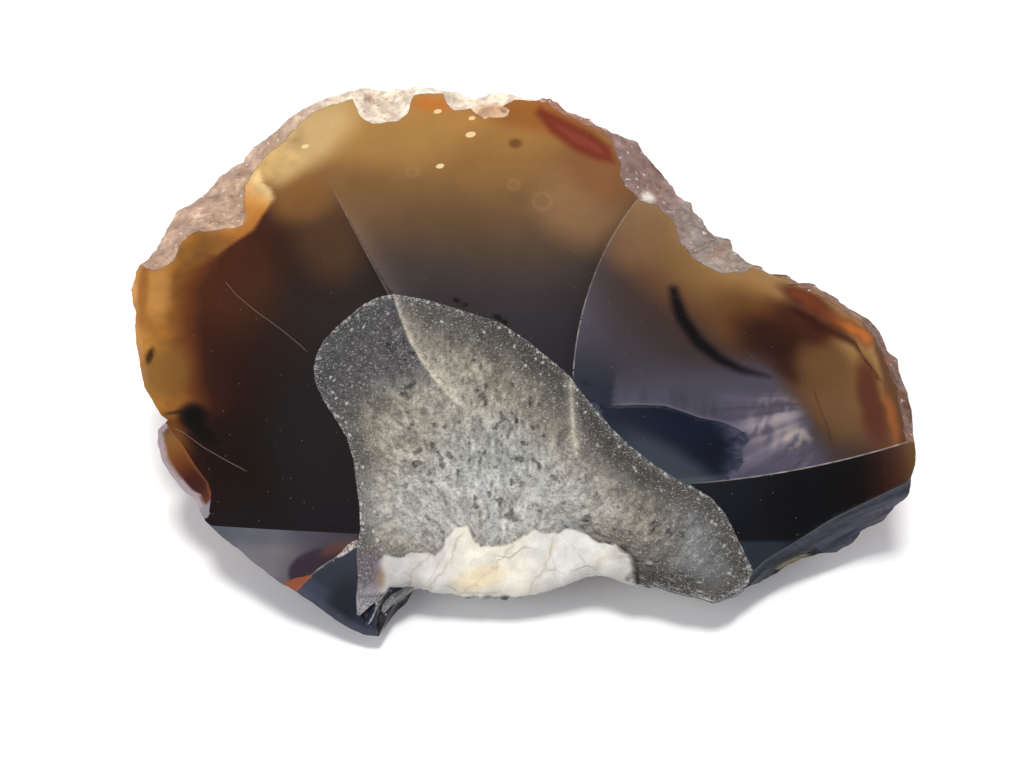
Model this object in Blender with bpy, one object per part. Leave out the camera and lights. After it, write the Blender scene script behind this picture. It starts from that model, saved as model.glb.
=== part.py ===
import math

import bmesh
import bpy
import numpy as np

# Driving dimensions. Those of the stone are in millimetres: across, up the face, and out of it.
mm = 0.001
faceTilt = math.radians(25)
toePlace = (-0.0003, -0.045, 0.0058)
seed = 11

# The domed skin: its depth below the rim, and how its profile changes from the lower edge to the upper one.
dome = {
    "depth": 28.6,
    "depthAt": 47.0,
    "lean": 0.46,
    "roundOff": 0.014,
    "roundOffFrom": 60.0,
    "fullness": 2.4,
    "wedgePower": 0.86,
    "wallPower": 0.5,
    "rimWall": 0.8,
    "segments": 104,
    "rings": 34,
}

# The blank above the face, which the scars cut away: its height and the share of its rings in its side.
blank = {"height": 9.0, "sideShare": 0.3}

# The heart's crystals: the size of a facet, how far they stand out of the scars, and their plate.
crystals = {
    "size": 2.1,
    "jitter": 0.3,
    "lowest": -0.1,
    "highest": 1.1,
    "plateDepth": 1.6,
    "plateSize": (76.0, 60.0),
    "plateMiddle": (2.0, 28.0),
}

# The blocks that trim the crystals and the feather shell to their outlines.
block = {"height": 30.0, "sides": 72}

# The outline of the broken face, clockwise from the left bulge, in millimetres across and up the face.
faceCentre = (0.0, 48.0)
faceOutline = [
    (-64.2, 57.0), (-62.2, 61.3), (-59.3, 67.1), (-56.2, 71.6), (-53.3, 73.8), (-50.0, 78.3),
    (-45.9, 82.9), (-41.4, 87.4), (-35.6, 92.2), (-29.4, 94.6), (-22.7, 94.9), (-15.1, 95.6),
    (-9.8, 94.4), (-6.9, 93.1), (-1.4, 94.4), (6.8, 93.0), (12.9, 89.1), (21.8, 84.5),
    (24.8, 79.6), (28.7, 73.2), (31.8, 70.2), (35.1, 65.6), (38.3, 62.8), (42.0, 60.0),
    (50.4, 56.7), (56.6, 52.0), (61.2, 47.8), (63.6, 42.5), (64.6, 35.2), (64.3, 26.4),
    (62.3, 19.9), (58.0, 16.3), (50.4, 11.4), (42.0, 9.1), (35.6, 5.9), (30.7, 3.9),
    (25.2, 5.4), (17.4, 7.0), (12.9, 8.2), (8.5, 6.9), (3.5, 5.3), (-5.5, 4.7),
    (-14.9, 6.1), (-16.2, 3.5), (-18.9, 0.6), (-20.1, -1.2), (-22.2, -1.0), (-27.5, 1.8),
    (-34.9, 6.3), (-42.3, 11.8), (-48.1, 16.4), (-53.8, 23.1), (-57.1, 30.4), (-55.4, 32.4),
    (-60.0, 38.1), (-62.4, 46.3), (-63.1, 51.0),
]

# The outline of the crystalline heart in the same millimetres, anticlockwise from its right tip.
heartCentre = (-2.0, 26.0)
heartOutline = [
    (36.6, 8.0), (35.1, 14.0), (31.7, 19.9), (26.2, 22.9), (19.3, 28.3), (14.4, 33.8),
    (9.7, 40.2), (3.0, 46.3), (-5.0, 50.8), (-13.6, 53.7), (-20.1, 54.9), (-27.0, 50.6),
    (-31.6, 46.3), (-32.9, 41.5), (-30.9, 35.7), (-26.8, 29.5), (-24.9, 22.3), (-23.9, 14.9),
    (-24.4, 9.0), (-22.0, 2.5), (-14.0, 7.5), (-5.0, 6.2), (4.0, 7.0), (13.0, 9.8),
    (25.0, 7.0), (31.0, 5.6),
]

# Each scar is a hollow left by one flake: across, up, depth of its lowest point and its radius.
flakeScars = {
    "middle_scar": (-12.3, 63.2, -4.1, 167.0),
    "left_scar": (-39.0, 48.7, -4.7, 176.0),
    "right_scar": (36.6, 47.4, -6.3, 74.0),
    "south_scar": (3.0, 22.0, -2.2, 300.0),
    "dark_scar": (41.7, 14.8, -2.7, 87.0),
    "corner_scar": (-41.0, 15.6, -1.45, 178.0),
    "foot_scar": (-21.9, -3.7, -2.8, 60.0),
    "band_scar": (0.0, -10.0, -3.9, 150.0),
}

# The feather shell: a thin flake gone from the right scar, down to a ledge along its upper side.
featherStepMm = 0.7
featherCentre = (27.0, 27.5)
featherOutline = [
    (38.4, 29.8), (34.1, 32.2), (30.2, 33.2), (24.8, 35.0), (16.4, 35.0), (14.8, 33.0),
    (19.3, 27.8), (26.2, 22.4), (31.0, 20.6), (35.0, 23.0), (37.0, 26.5),
]

# Each rim chip: across, up, radius, and how far it bites in from the edge. All slope about alike.
chipSlope = math.radians(48)
rimChips = [
    (-63.8, 59.5, 14.0, 1.8), (-59.5, 66.0, 38.0, 4.4), (-52.5, 74.5, 21.0, 4.8),
    (-46.0, 82.5, 33.0, 4.6), (-38.0, 90.0, 26.0, 3.4), (-23.5, 94.8, 15.0, 4.6),
    (-14.0, 95.6, 12.0, 2.0), (-9.5, 94.4, 7.0, 2.6), (-3.5, 93.9, 9.0, 3.6),
    (10.0, 90.9, 25.0, 2.6), (19.5, 85.4, 16.0, 3.0), (26.3, 77.0, 24.0, 4.0),
    (31.8, 70.0, 13.0, 3.4), (37.2, 64.0, 19.0, 3.4), (45.5, 58.5, 16.0, 1.4),
    (60.0, 49.3, 18.0, 1.6), (64.2, 37.0, 27.0, 1.4), (-56.2, 27.6, 10.0, 5.0),
    (-51.5, 20.6, 13.0, 3.2), (-62.0, 44.5, 15.0, 1.0), (57.0, 15.6, 19.0, 2.4),
    (47.0, 10.6, 15.0, 1.8),
]


def radiusToward(outline, centre, angle):
    """Straight runs between the outline's points, as distances from its centre."""
    points = np.array(outline) - centre
    angles = np.arctan2(points[:, 1], points[:, 0])
    order = np.argsort(angles)
    lengths = np.hypot(points[:, 0], points[:, 1])
    return np.interp(angle, angles[order], lengths[order], period=2 * math.pi)


def faceHeight(across, up):
    """The lowest of the flake scars, each the lower part of a large sphere."""
    heights = [
        depth + radius - np.sqrt(np.maximum(radius**2 - (across - x) ** 2 - (up - y) ** 2, 0))
        for x, y, depth, radius in flakeScars.values()
    ]
    return np.min(heights, axis=0)


def skinLumps(across, up, deep):
    """Sums of slow waves give the skin its lumps, about 9 to 20 mm from one to the next and 2 mm high."""
    broad = 0.9 * np.sin(0.31 * across + 1.3) * np.sin(0.37 * up + 0.4)
    slanting = 0.6 * np.sin(0.52 * across - 0.44 * up + 0.5 * deep)
    small = 0.4 * np.sin(0.71 * up + 0.63 * deep + 2.1) * np.cos(0.66 * across)
    return broad + slanting + small


def coordinates(mesh):
    points = np.empty(len(mesh.vertices) * 3)
    mesh.vertices.foreach_get("co", points)
    return points.reshape(-1, 3)


def sphereObject(name, segments, rings, collection):
    mesh = bpy.data.meshes.new(name)
    shape = bmesh.new()
    bmesh.ops.create_uvsphere(shape, u_segments=segments, v_segments=rings, radius=1.0)
    shape.to_mesh(mesh)
    shape.free()
    sphere = bpy.data.objects.new(name, mesh)
    collection.objects.link(sphere)
    return sphere


def newCollection(name):
    collection = bpy.data.collections.new(name)
    bpy.context.scene.collection.children.link(collection)
    return collection


def faceFrame(collection):
    """An empty at the foot of the face, leaning back with it: X across, Y up the face, Z out of it."""
    frame = bpy.data.objects.new("face_frame", None)
    frame.location = toePlace
    frame.rotation_euler = (faceTilt, 0, 0)
    collection.objects.link(frame)
    return frame


def asCutter(cutter, frame):
    cutter.parent = frame
    cutter.hide_render = True
    cutter.display_type = "WIRE"


def noduleBody(collection, frame):
    """A sphere pulled to the outline: its lower half is the domed skin, its upper half a flat blank."""
    body = sphereObject("carnelian_nodule", dome["segments"], dome["rings"], collection)
    points = coordinates(body.data)
    angle = np.arctan2(points[:, 1], points[:, 0])
    latitude = np.arcsin(np.clip(points[:, 2], -1, 1)) / (math.pi / 2)
    below = latitude < -0.0001

    # The share of the way from the middle to the rim: it grows down the sphere's lower half, and above
    # the rim it stays 1 up the blank's side and falls to 0 across its top.
    climb = np.clip(latitude / blank["sideShare"], 0, 1)
    inward = np.clip((latitude - blank["sideShare"]) / (1 - blank["sideShare"]), 0, 1)
    share = np.where(below, np.minimum(np.hypot(points[:, 0], points[:, 1]), 1), 1 - inward)
    rim = radiusToward(faceOutline, faceCentre, angle)
    across = faceCentre[0] + share * rim * np.cos(angle)
    up = faceCentre[1] + share * rim * np.sin(angle)
    rimAcross = faceCentre[0] + rim * np.cos(angle)
    rimUp = faceCentre[1] + rim * np.sin(angle)

    # The skin leaves the lower edge as a wedge and the upper edge as a steep wall, and leans with the face.
    upward = (1 + np.sin(angle)) / 2
    power = dome["wedgePower"] + (dome["wallPower"] - dome["wedgePower"]) * upward
    profile = (1 - share ** dome["fullness"]) ** power
    depth = dome["depth"] + dome["lean"] * (up - dome["depthAt"])
    depth -= dome["roundOff"] * np.maximum(up - dome["roundOffFrom"], 0) ** 2
    rimLevel = faceHeight(rimAcross, rimUp) - dome["rimWall"]
    fade = np.clip(share * (1.15 - share) * 4, 0, 1) ** 2
    skin = rimLevel * share**3 - depth * profile + skinLumps(across, up, depth * profile) * fade
    level = np.where(below, skin, rimLevel + (blank["height"] - rimLevel) * climb)

    moved = np.stack([across, up, level], axis=1) * mm
    body.data.vertices.foreach_set("co", moved.ravel())
    body.data.update()
    body.parent = frame
    return body


def scarCutter(name, place, collection, frame):
    """A whole sphere of the scar's radius, lying on its side so that the face gets its even middle facets."""
    across, up, depth, radius = place
    around = 2 * int(20 + radius / 10)
    scar = sphereObject(name, around, around // 2, collection)
    scar.rotation_euler = (math.pi / 2, 0, 0)
    scar.scale = (radius * mm, radius * mm, radius * mm)
    scar.location = (across * mm, up * mm, (depth + radius) * mm)
    asCutter(scar, frame)


def chipCutter(index, place, collection, frame):
    """A small sphere over the edge, so that it takes a shell-shaped bite out of the rim."""
    across, up, radius, bite = place
    outward = np.array([across, up]) - faceCentre
    outward /= np.linalg.norm(outward)
    middle = np.array([across, up]) + outward * (radius * math.sin(chipSlope) - bite)
    level = faceHeight(across, up) + radius * math.cos(chipSlope)
    around = 16 + int(radius / 2)
    chip = sphereObject(f"rim_chip_{index}", around, around // 2, collection)
    chip.scale = (radius * mm, radius * mm, radius * mm)
    chip.rotation_euler = (0.4, 0.3, 0.7 * index)
    chip.location = (middle[0] * mm, middle[1] * mm, level * mm)
    asCutter(chip, frame)


def floorCutter(collection):
    """A slab whose top is the ground: what the dome would press into it becomes the resting spot."""
    mesh = bpy.data.meshes.new("ground")
    shape = bmesh.new()
    bmesh.ops.create_cube(shape, size=1.0)
    shape.to_mesh(mesh)
    shape.free()
    ground = bpy.data.objects.new("ground", mesh)
    length, width, thickness = 0.2, 0.2, 0.02
    ground.scale = (length, width, thickness)
    ground.location = (0, 0, -thickness / 2)
    ground.hide_render = True
    ground.display_type = "WIRE"
    collection.objects.link(ground)


def outlineBlock(name, outline, centre, collection, frame):
    """A cylinder pulled to an outline of the face, tall enough to reach well through its surface."""
    mesh = bpy.data.meshes.new(name)
    shape = bmesh.new()
    bmesh.ops.create_cone(
        shape,
        cap_ends=True,
        segments=block["sides"],
        radius1=1,
        radius2=1,
        depth=block["height"] * mm,
    )
    for vertex in shape.verts:
        turn = math.atan2(vertex.co.y, vertex.co.x)
        rim = float(radiusToward(outline, centre, turn))
        vertex.co.x = (centre[0] + rim * math.cos(turn)) * mm
        vertex.co.y = (centre[1] + rim * math.sin(turn)) * mm
    shape.to_mesh(mesh)
    shape.free()
    outlined = bpy.data.objects.new(name, mesh)
    collection.objects.link(outlined)
    asCutter(outlined, frame)
    return outlined


def featherCutter(collection, guides, frame):
    """The right scar's own sphere, sunk by the ledge's height and trimmed to the feather shell's outline."""
    across, up, depth, radius = flakeScars["right_scar"]
    sunk = (across, up, depth - featherStepMm, radius)
    scarCutter("feather_shell", sunk, collection, frame)
    shell = collection.objects["feather_shell"]
    trim = booleanStep(shell, "trim to the ledge", "INTERSECT")
    trim.object = outlineBlock("feather_outline", featherOutline, featherCentre, guides, frame)


def crystalHeart(collection, frame):
    """The broken crystals of the heart: a plate whose top stands in small facets just above the scars."""
    mesh = bpy.data.meshes.new("heart_crystals")
    shape = bmesh.new()
    columns, rows = (int(size / crystals["size"]) for size in crystals["plateSize"])
    bmesh.ops.create_grid(shape, x_segments=columns, y_segments=rows, size=0.5)
    corners = np.array([vertex.co[:2] for vertex in shape.verts])
    corners = corners * crystals["plateSize"] + crystals["plateMiddle"]
    rng = np.random.default_rng(seed)
    shift = crystals["jitter"] * crystals["size"]
    corners += rng.uniform(-shift, shift, corners.shape)
    stand = rng.uniform(crystals["lowest"], crystals["highest"], len(corners))
    level = faceHeight(corners[:, 0], corners[:, 1]) + stand
    for vertex, (across, up), height in zip(shape.verts, corners, level):
        vertex.co = (across * mm, up * mm, height * mm)
    lower = bmesh.ops.extrude_face_region(shape, geom=list(shape.faces))["geom"]
    for vertex in (item for item in lower if isinstance(item, bmesh.types.BMVert)):
        surface = float(faceHeight(vertex.co.x / mm, vertex.co.y / mm))
        vertex.co.z = (surface - crystals["plateDepth"]) * mm
    bmesh.ops.recalc_face_normals(shape, faces=list(shape.faces))
    shape.to_mesh(mesh)
    shape.free()
    heart = bpy.data.objects.new("heart_crystals", mesh)
    collection.objects.link(heart)
    asCutter(heart, frame)
    trim = booleanStep(heart, "trim to the outline", "INTERSECT")
    trim.object = outlineBlock("heart_outline", heartOutline, heartCentre, collection, frame)
    return heart


def chalcedony():
    material = bpy.data.materials.new("chalcedony")
    material.use_nodes = True
    surface = material.node_tree.nodes["Principled BSDF"]
    surface.inputs["Base Color"].default_value = (0.33, 0.13, 0.035, 1)
    surface.inputs["Roughness"].default_value = 0.2
    surface.inputs["Metallic"].default_value = 0.0
    return material


def booleanStep(body, name, operation):
    step = body.modifiers.new(name, "BOOLEAN")
    step.operation = operation
    step.solver = "EXACT"
    return step


def main():
    for old in list(bpy.data.objects):
        bpy.data.objects.remove(old)
    stone = newCollection("carnelian_nodule")
    scars = newCollection("face_cutters")
    edges = newCollection("edge_cutters")
    fused = newCollection("crystals_and_guides")

    frame = faceFrame(stone)
    body = noduleBody(stone, frame)
    body.data.materials.append(chalcedony())
    for name, place in flakeScars.items():
        scarCutter(name, place, scars, frame)
    for index, place in enumerate(rimChips):
        chipCutter(index, place, edges, frame)
    featherCutter(scars, fused, frame)
    floorCutter(edges)
    heart = crystalHeart(fused, frame)

    cutFace = booleanStep(body, "break the face", "DIFFERENCE")
    cutFace.operand_type = "COLLECTION"
    cutFace.collection = scars
    addHeart = booleanStep(body, "fuse the heart", "UNION")
    addHeart.object = heart
    cutEdges = booleanStep(body, "chip the rim", "DIFFERENCE")
    cutEdges.operand_type = "COLLECTION"
    cutEdges.collection = edges
    body.data.shade_smooth()
    body.data.set_sharp_from_angle(angle=math.radians(30))


main()
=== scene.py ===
import math

import bpy
import numpy as np
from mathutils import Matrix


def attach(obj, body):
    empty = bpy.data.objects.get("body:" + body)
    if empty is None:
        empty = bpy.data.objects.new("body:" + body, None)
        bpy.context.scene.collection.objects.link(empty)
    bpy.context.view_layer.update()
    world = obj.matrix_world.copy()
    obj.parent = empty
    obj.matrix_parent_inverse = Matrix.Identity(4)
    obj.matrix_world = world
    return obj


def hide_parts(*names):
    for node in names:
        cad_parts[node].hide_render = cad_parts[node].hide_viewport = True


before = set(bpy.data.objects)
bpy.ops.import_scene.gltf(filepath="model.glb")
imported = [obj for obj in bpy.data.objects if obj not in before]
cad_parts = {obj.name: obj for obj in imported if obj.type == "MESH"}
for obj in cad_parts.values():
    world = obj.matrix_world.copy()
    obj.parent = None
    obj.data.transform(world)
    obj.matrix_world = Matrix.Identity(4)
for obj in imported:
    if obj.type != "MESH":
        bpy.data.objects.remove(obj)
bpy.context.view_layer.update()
print("frame loaded")

# Every length of the stone is in millimetres of its broken face: across, up from the toe, and out of it.
facePlace = {
    "tilt": math.radians(25),
    "toe": (-0.3, -45.0, 5.8),
    "eyeUp": -9.3,        # where the viewer stands over the face, and how far out
    "eyeOut": 147.8,
}


def toWorld(across, up, out):
    # turns the face by its tilt about the X axis, adds the toe's place, and makes metres of it
    cosine, sine = math.cos(facePlace["tilt"]), math.sin(facePlace["tilt"])
    x = across + facePlace["toe"][0]
    y = facePlace["toe"][1] + up * cosine - out * sine
    z = facePlace["toe"][2] + up * sine + out * cosine
    return np.stack([x, y, np.maximum(z, 0.0)], axis=-1) / 1000


def alongSight(across, up, out):
    # keeps a raised or sunk point on the line from the eye through (across, up): it moves by out / eyeOut
    share = out / facePlace["eyeOut"]
    return across * (1 - share), up + (facePlace["eyeUp"] - up) * share


# numbers that repeat the same way each run


def latticeShare(column, row, salt):
    # mixes the bits of two whole numbers into a share from 0 to 1
    mixed = (column.astype(np.int64) * 374761 + row.astype(np.int64) * 668265 + salt * 97531) & 0x7FFFFFFF
    mixed = ((mixed ^ (mixed >> 13)) * 1274126177) & 0x7FFFFFFF
    mixed = ((mixed ^ (mixed >> 15)) * 73244475) & 0x7FFFFFFF
    return ((mixed ^ (mixed >> 16)) & 0xFFFF) / 65535.0


def waveNoise(x, y, size, salt):
    # -1 to 1: lattice shares blended with the smooth weight t * t * (3 - 2 t)
    x, y = x / size, y / size
    column, row = np.floor(x), np.floor(y)
    tx, ty = x - column, y - row
    tx, ty = tx * tx * (3 - 2 * tx), ty * ty * (3 - 2 * ty)
    low = latticeShare(column, row, salt) * (1 - tx) + latticeShare(column + 1, row, salt) * tx
    high = latticeShare(column, row + 1, salt) * (1 - tx) + latticeShare(column + 1, row + 1, salt) * tx
    return 2 * (low * (1 - ty) + high * ty) - 1


def roughNoise(x, y, size, salt, octaves=4):
    # a sum of waves, each half as wide and just over half as high as the one before
    total = 0
    for step in range(octaves):
        wave = waveNoise(x + 31.7 * step, y - 17.3 * step, size * 0.5**step, salt + step)
        total = total + 0.55**step * wave
    return total


def solidNoise(points, size, salt, octaves=4):
    # the same in space: three flat noises, one for each pair of axes, added and divided by 1.8
    x, y, z = points.T
    pairs = ((x + 0.37 * z, y + 5, 0), (y - 0.41 * x, z + 9, 7), (z + 0.33 * y, x - 4, 13))
    return sum(roughNoise(one, two, size, salt + step, octaves) for one, two, step in pairs) / 1.8


def grains(x, y, size, salt):
    # one point per lattice cell: gives the offset to the nearest, its share, and how near the next one is
    x, y = x / size, y / size
    column, row = np.floor(x), np.floor(y)
    nearest = np.full(x.shape, 9.0)
    second = np.full(x.shape, 9.0)
    tag, offX, offY = np.zeros(x.shape), np.zeros(x.shape), np.zeros(x.shape)
    for stepX in (-1, 0, 1):
        for stepY in (-1, 0, 1):
            c, r = column + stepX, row + stepY
            dx = x - (c + 0.1 + 0.8 * latticeShare(c, r, salt))
            dy = y - (r + 0.1 + 0.8 * latticeShare(c, r, salt + 5))
            distance = np.hypot(dx, dy)
            nearer = distance < nearest
            second = np.where(nearer, nearest, np.minimum(second, distance))
            tag = np.where(nearer, latticeShare(c, r, salt + 9), tag)
            offX, offY = np.where(nearer, dx, offX), np.where(nearer, dy, offY)
            nearest = np.minimum(nearest, distance)
    return offX * size, offY * size, tag, (second - nearest) * size


# distances to drawn lines and outlines


def ease(value, start, end):
    # a smooth step from 0 at start to 1 at end: t * t * (3 - 2 t)
    share = np.clip((value - start) / (end - start), 0, 1)
    return share * share * (3 - 2 * share)


def pathDistance(x, y, path):
    # nearest distance to a run of straight parts, which side of it (left is plus), and the share along it
    path = np.array(path, float)
    best = np.full(x.shape, 1e9)
    side, along = np.zeros(x.shape), np.zeros(x.shape)
    lengths = np.hypot(*np.diff(path, axis=0).T)
    starts = np.concatenate([[0], np.cumsum(lengths)])
    for (x0, y0), (x1, y1), start, length in zip(path[:-1], path[1:], starts, lengths):
        ex, ey = (x1 - x0) / length, (y1 - y0) / length
        run = np.clip((x - x0) * ex + (y - y0) * ey, 0, length)
        distance = np.hypot(x - x0 - run * ex, y - y0 - run * ey)
        nearer = distance < best
        best = np.where(nearer, distance, best)
        side = np.where(nearer, np.sign(ex * (y - y0) - ey * (x - x0)), side)
        along = np.where(nearer, (start + run) / starts[-1], along)
    return best, side, along


def insideBy(x, y, outline):
    # distance to a closed outline, plus inside it and minus outside: a point is inside where a line from
    # it to the right crosses the outline an odd number of times
    closed = list(outline) + [outline[0]]
    distance = pathDistance(x, y, closed)[0]
    crossed = np.zeros(x.shape, bool)
    for (x0, y0), (x1, y1) in zip(closed[:-1], closed[1:]):
        if y0 != y1:
            crossed ^= ((y0 > y) != (y1 > y)) & (x < (x1 - x0) * (y - y0) / (y1 - y0) + x0)
    return np.where(crossed, distance, -distance)


def radiusToward(outline, centre, angle):
    # straight runs between the outline's points, as distances from its centre
    points = np.array(outline) - centre
    angles = np.arctan2(points[:, 1], points[:, 0])
    order = np.argsort(angles)
    return np.interp(angle, angles[order], np.hypot(*points.T)[order], period=2 * math.pi)


def squareToDisc(cells):
    # share and angle over a square grid: the share is the larger of |u| and |v|, and the angle runs evenly
    # along each side of the square
    line = np.linspace(-1, 1, cells + 1)
    u, v = np.meshgrid(line, line)
    flat = np.abs(u) >= np.abs(v)
    share = np.where(flat, u, v)
    safe = np.where(share == 0, 1, share)
    angle = np.where(flat, math.pi / 4 * v / safe, math.pi / 2 - math.pi / 4 * u / safe)
    return np.abs(share), np.where(share < 0, angle + math.pi, angle)


# the shape of the broken face

stone = {
    "cells": 284,              # squares along each side of the face's grid
    "middle": (0.0, 48.0),
    "rimRoughness": 0.22,      # how deeply the rim is bitten
    "rindSlope": 0.62,         # how steeply the surface falls away inside each outline
    "bevelSlope": 0.28,
    "wallSlope": 1.25,
    "toeSlope": 1.5,
    "pocketSlope": 0.22,
    "ledge": 0.25,
    "ridgeReach": 0.27,        # points nearer than this are moved onto a ridge or an outline
    "outlineReach": 0.25,
    "outline": [
        (-64.3, 57), (-64.1, 58.9), (-63.4, 60.1), (-62.2, 61.3), (-60.5, 64.2), (-59.3, 67.1), (-58.1, 70.2),
        (-56.2, 71.6), (-53.3, 73.8), (-51.9, 76.6), (-50, 78.3), (-47.6, 80.2), (-45.9, 82.9), (-43.8, 84.8),
        (-41.4, 87.4), (-38.5, 90.3), (-35.6, 92.2), (-32.3, 93.6), (-29.4, 94.6), (-26.1, 95.2), (-22.7, 94.6),
        (-19.8, 95.1), (-17.5, 95.7), (-15.1, 95.6), (-12.7, 94.6), (-9.8, 94.4), (-6.9, 93.1), (-3.9, 94.2),
        (-1.4, 94.4), (1.1, 93.5), (4.5, 92.9), (6.8, 93.2), (8.7, 91.6), (10.2, 90.2), (12.9, 89.1),
        (15.4, 87.6), (17.8, 86.1), (19.6, 85.2), (21.8, 84.5), (23, 82.5), (24.8, 79.6), (26.7, 77.3),
        (28, 75.1), (28.7, 73.2), (31.2, 71.9), (31.8, 70.2), (33.6, 67.2), (35.1, 65.6), (37.1, 65),
        (38.3, 62.8), (40, 60.6), (42, 60), (44, 58.4), (46.4, 58.2), (48.4, 56.6), (50.4, 56.7), (52.1, 55.4),
        (54.3, 54.2), (56.6, 52), (59.3, 50.4), (61.2, 47.8), (62.2, 44.1), (63.6, 43.1), (63.5, 41.2),
        (64.4, 37.2), (64.6, 35.2), (64.6, 30.3), (64.3, 26.4), (63.5, 23.4), (62.3, 19.9), (60, 18.5),
        (58, 16.3), (54.3, 14.5), (52.1, 12.3), (50.4, 11.4), (47.9, 11.1), (44.5, 10.2), (42, 9.1), (40, 7.9),
        (35.6, 5.9), (32.6, 4.4), (30.7, 3.9), (28.7, 4.7), (25.2, 5.4), (22.3, 6.4), (19.3, 6.5), (17.4, 7),
        (14.9, 8), (12.9, 8.2), (11.4, 8), (8.5, 6.9), (3.5, 5.3), (-1.7, 4.7), (-5.5, 4.7), (-9.3, 5.4),
        (-12.2, 5.7), (-14.9, 6.1), (-16.2, 3.5), (-17.5, 2.5), (-18.9, 0.6), (-20.1, -1.2), (-22.2, -1),
        (-24.9, 0.1), (-27.5, 1.8), (-30.4, 3.7), (-32.8, 5.3), (-34.9, 6.3), (-39, 9.2), (-42.3, 11.8),
        (-45, 13.7), (-48.1, 16.4), (-49, 18), (-50, 19.9), (-51.4, 20.7), (-53.8, 23.1), (-55.7, 25.7),
        (-56.8, 29), (-57.1, 30.9), (-56.2, 31.9), (-55.5, 32.5), (-56.7, 33.3), (-58.1, 35.3), (-60, 38.1),
        (-61.2, 42), (-62.4, 46.3), (-63.1, 51), (-64.1, 54.6),
    ],
    # each flake scar: the place of its lowest point, that point's depth, and the radius of its hollow
    "scars": [
        (-12.3, 63.2, -4.1, 167.0),     # 0 middle
        (-39.0, 48.7, -4.7, 176.0),     # 1 left
        (36.6, 47.4, -6.3, 74.0),       # 2 right
        (3.0, 22.0, -1.4, 300.0),       # 3 under the heart
        (41.7, 14.8, -2.7, 87.0),       # 4 dark
        (-41.0, 15.6, -1.45, 178.0),    # 5 corner
        (-21.9, -3.7, -2.8, 60.0),      # 6 foot
        (0.0, -10.0, -3.9, 150.0),      # 7 under the white band
    ],
    # rind that shows on the face: closed outlines, their inner edge first
    "rindZones": [
        [(-63.4, 59.9), (-60.5, 58.9), (-57.6, 60.9), (-57.2, 63.7), (-55.7, 65.2), (-53.8, 66.4),
         (-48.1, 66.8), (-46.6, 67.3), (-46.2, 69.5), (-46.6, 73.3), (-47.1, 75.2), (-45.9, 78.1),
         (-43.8, 80.9), (-40.4, 84.3), (-38.5, 87.2), (-35.6, 90.0), (-32.3, 92.0), (-28.9, 93.0),
         (-29, 99), (-45, 95), (-62, 80), (-68, 62)],
        [(-29.6, 94.1), (-28.7, 92.4), (-27.7, 90), (-26.5, 88.3), (-23.2, 87.9), (-20.6, 88.3),
         (-18.6, 90.0), (-18, 92.2), (-17.6, 93.8), (-12.6, 94.0), (-12.2, 92.9), (-10.3, 90.6),
         (-8.3, 90.8), (-7.4, 91), (-5, 88.9), (-0.9, 89.2), (-0.2, 90.5), (-1.7, 91.7), (0.5, 92.6),
         (6.3, 92.3), (9, 99), (-29, 99)],
        [(6.3, 92.3), (9.6, 89.7), (14.4, 87.0), (17.0, 85.4), (17.8, 83.3), (18.8, 80.3), (19.1, 77.3),
         (20.3, 74.9), (22.3, 72.4), (25.2, 71.4), (26.7, 69.5), (28.2, 67), (28.7, 64), (30.2, 62.6),
         (32.6, 60.1), (35.6, 58.6), (39, 58.6), (41, 59.6), (47, 62), (40, 70), (20, 95), (9, 97)],
        [(41, 59.6), (45.5, 57.6), (49, 55.8), (52.4, 54.0), (55.2, 51.6), (58.6, 49.4), (60.4, 46.6),
         (61.6, 43.0), (62.6, 38.6), (63.2, 34.0), (63.0, 29.0), (66, 28), (67, 45), (55, 60)],
    ],
    # the lower right side of the stone, seen steeply below the face
    "sideWall": [
        (64.6, 24.0), (62.2, 22.2), (56.3, 19.5), (49.9, 16.5), (44, 13), (39, 10.1), (36.1, 7.6), (34.1, 5.6),
        (31, 0), (50, 5), (66, 15), (68, 24),
    ],
    "toeWall": [(-20.3, 3.8), (-18.9, 5.6), (-16.0, 6.9), (-12, 6.0), (-14, 0), (-19.5, -4), (-20.6, 0.6)],
    "pocket": [
        (-55.6, 31.9), (-54.6, 30.4), (-52.9, 28.6), (-50.5, 25.2), (-48.1, 22.3), (-47.4, 20.4), (-47.5, 16.8),
        (-52, 15), (-60, 24), (-59, 32),
    ],
    "bevel": [
        (-50.5, 61.9), (-47.1, 64.7), (-44.7, 66.6), (-43.3, 69.5), (-41.6, 72.8), (-42.3, 74.7), (-43.8, 75.9),
        (-44.5, 79), (-50, 76), (-50, 70), (-55, 66), (-53.5, 62.8),
    ],
    "feather": [
        (38.4, 29.6), (36.6, 31.0), (34.1, 32.2), (30.2, 33.0), (27.7, 34.0), (24.8, 35.0), (20.3, 35.2),
        (16.4, 35.0), (13.0, 36.0), (14.8, 31.0), (19.3, 26.8), (26.2, 21.4), (31.0, 20.0), (34.5, 22.6),
        (36.8, 25.4), (37.0, 27.8),
    ],
}

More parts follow.
